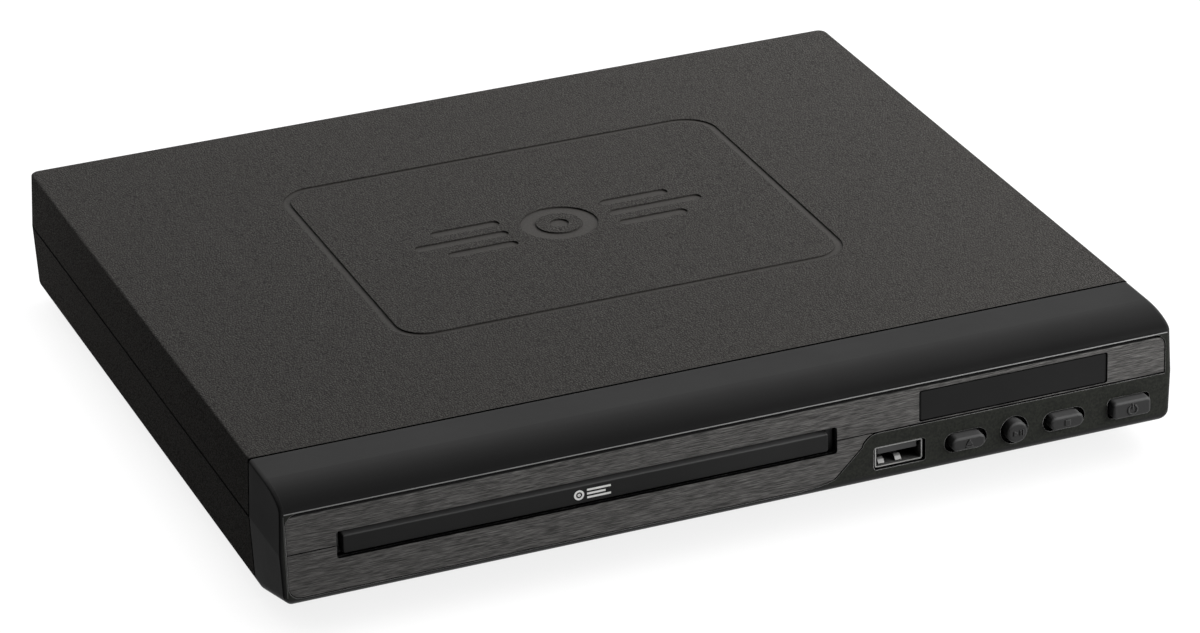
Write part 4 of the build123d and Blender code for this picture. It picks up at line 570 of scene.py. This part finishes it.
finishes = {
    charcoal: ["top_cover", "bottom_case"],
    front_black: ["front_bezel"],
    satin: ["rear_panel"],
    port_plate: ["usb_shell"],
    strip: ["upper_trim", "lower_trim"],
    window: ["display_window"],
    glossy_black: ["disc_tray"],
    door_black: ["tray_door"],
    button_black: ["eject_button", "play_button", "stop_button", "power_button"],
    nickel: ["rca_barrels", "inlet_pins", "loading_motor", "spindle_motor", "sled_motor",
             "guide_rods"],
    gold: ["usb_contacts"],
    steel: ["clamp_bridge", "mech_plate"],
    zinc: ["case_screws", "board_screws", "loader_screws", "damper_screws"],
    aluminium: ["heat_sink", "board_capacitors", "power_capacitors"],
    black_part: ["usb_tongue", "tact_switches", "power_switch", "ir_receiver", "decoder_chips",
                 "scart_socket", "mains_inlet", "turntable", "pickup_body"],
    grey_part: ["loader_frame", "tilt_frame"],
    acetal: ["drive_gear", "pulley_gear", "motor_pulley", "cam_slider", "sled_gear", "sled_pinion",
             "clamp_puck"],
    pale_tape: ["transformer"],
    flat_cable: ["ribbon_cables"],
    lens_plate: ["display_module"],
    green_board: ["main_board"],
    brown_board: ["front_board", "power_board"],
    rubber_black: ["rubber_feet", "drive_belt", "dampers"],
    sockets: ["rca_block"],
    glass: ["fuse", "pickup_lens"],
}
for finish, names in finishes.items():
    for name in names:
        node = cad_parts[name]
        node.data.materials.clear()
        node.data.materials.append(finish)

# ---------------------------------------------------------------- printed mark on the tray door
# A plain disc sign beside three short lines, in millimetres; it rides on the tray.
MARK_X = -39.0
MARK_Z = 22.65
DOOR_FACE_Y = -106.2
PRINT_THICKNESS = 0.02
DISC_AT = -3.4
DISC_RINGS = [(1.35, 0.8), (0.42, 0.1)]
RING_STEPS = 48
LINES = [(-1.3, 5.0, 0.75, 1.3), (-1.3, 3.6, -0.28, 0.28), (-1.3, 5.0, -1.3, -0.75)]


def piece_from(mesh, name, finish):
    """Object from a mesh drawn in millimetres."""
    bmesh.ops.recalc_face_normals(mesh, faces=mesh.faces)
    mesh.transform(Matrix.Scale(MM, 4))
    data = bpy.data.meshes.new(name)
    mesh.to_mesh(data)
    mesh.free()
    data.materials.append(finish)
    piece = bpy.data.objects.new(name, data)
    bpy.context.collection.objects.link(piece)
    return piece


def print_ring(mesh, x, z, outer, inner):
    """Flat ring with its small edge walls, standing PRINT_THICKNESS proud of the door."""
    loops = []
    for radius, y in ((outer, 0.0), (outer, -PRINT_THICKNESS), (inner, -PRINT_THICKNESS), (inner, 0.0)):
        turns = [2 * math.pi * i / RING_STEPS for i in range(RING_STEPS)]
        loops.append([mesh.verts.new((x + radius * math.cos(t), y, z + radius * math.sin(t))) for t in turns])
    for first, second in zip(loops, loops[1:]):
        for i in range(RING_STEPS):
            j = (i + 1) % RING_STEPS
            mesh.faces.new((first[i], first[j], second[j], second[i]))


def print_line(mesh, left, right, low, high):
    """Flat bar with its small edge walls."""
    corners = [(left, low), (right, low), (right, high), (left, high)]
    back = [mesh.verts.new((x, 0.0, z)) for x, z in corners]
    front = [mesh.verts.new((x, -PRINT_THICKNESS, z)) for x, z in corners]
    mesh.faces.new(front)
    for i in range(4):
        j = (i + 1) % 4
        mesh.faces.new((back[i], back[j], front[j], front[i]))


def door_mark():
    mesh = bmesh.new()
    for outer, inner in DISC_RINGS:
        print_ring(mesh, DISC_AT, 0.0, outer, inner)
    for line in LINES:
        print_line(mesh, *line)
    mesh.transform(Matrix.Translation((MARK_X, DOOR_FACE_Y, MARK_Z)))
    mark = piece_from(mesh, "door_mark", moulded("white_print", (0.9, 0.9, 0.88, 1), 0.5, 3000.0))
    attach(mark, "tray")


door_mark()

# ---------------------------------------------------------------- springs of the port
# Two bent leaves pressed out of the port's floor, in millimetres: (y, z) along each leaf.
SPRING_LINE = [(-98.0, 13.55), (-101.0, 13.95), (-103.4, 14.75),
               (-104.4, 14.85), (-105.2, 14.5), (-105.9, 13.75)]
SPRING_LEFTS = [38.3, 43.0]
SPRING_WIDTH = 1.7
SPRING_SHEET = 0.2


def port_springs():
    mesh = bmesh.new()
    for left in SPRING_LEFTS:
        rows = []
        for y, z in SPRING_LINE:
            ends = [(left, z), (left + SPRING_WIDTH, z),
                    (left + SPRING_WIDTH, z - SPRING_SHEET), (left, z - SPRING_SHEET)]
            rows.append([mesh.verts.new((x, y, height)) for x, height in ends])
        for first, second in zip(rows, rows[1:]):
            for i in range(4):
                j = (i + 1) % 4
                mesh.faces.new((first[i], first[j], second[j], second[i]))
        mesh.faces.new(rows[0])
        mesh.faces.new(rows[-1])
    plate = metal("spring_plate", (0.5, 0.5, 0.49, 1), 0.3, metallic=0.3)
    leaves = piece_from(mesh, "port_springs", plate)
    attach(leaves, "root")


port_springs()
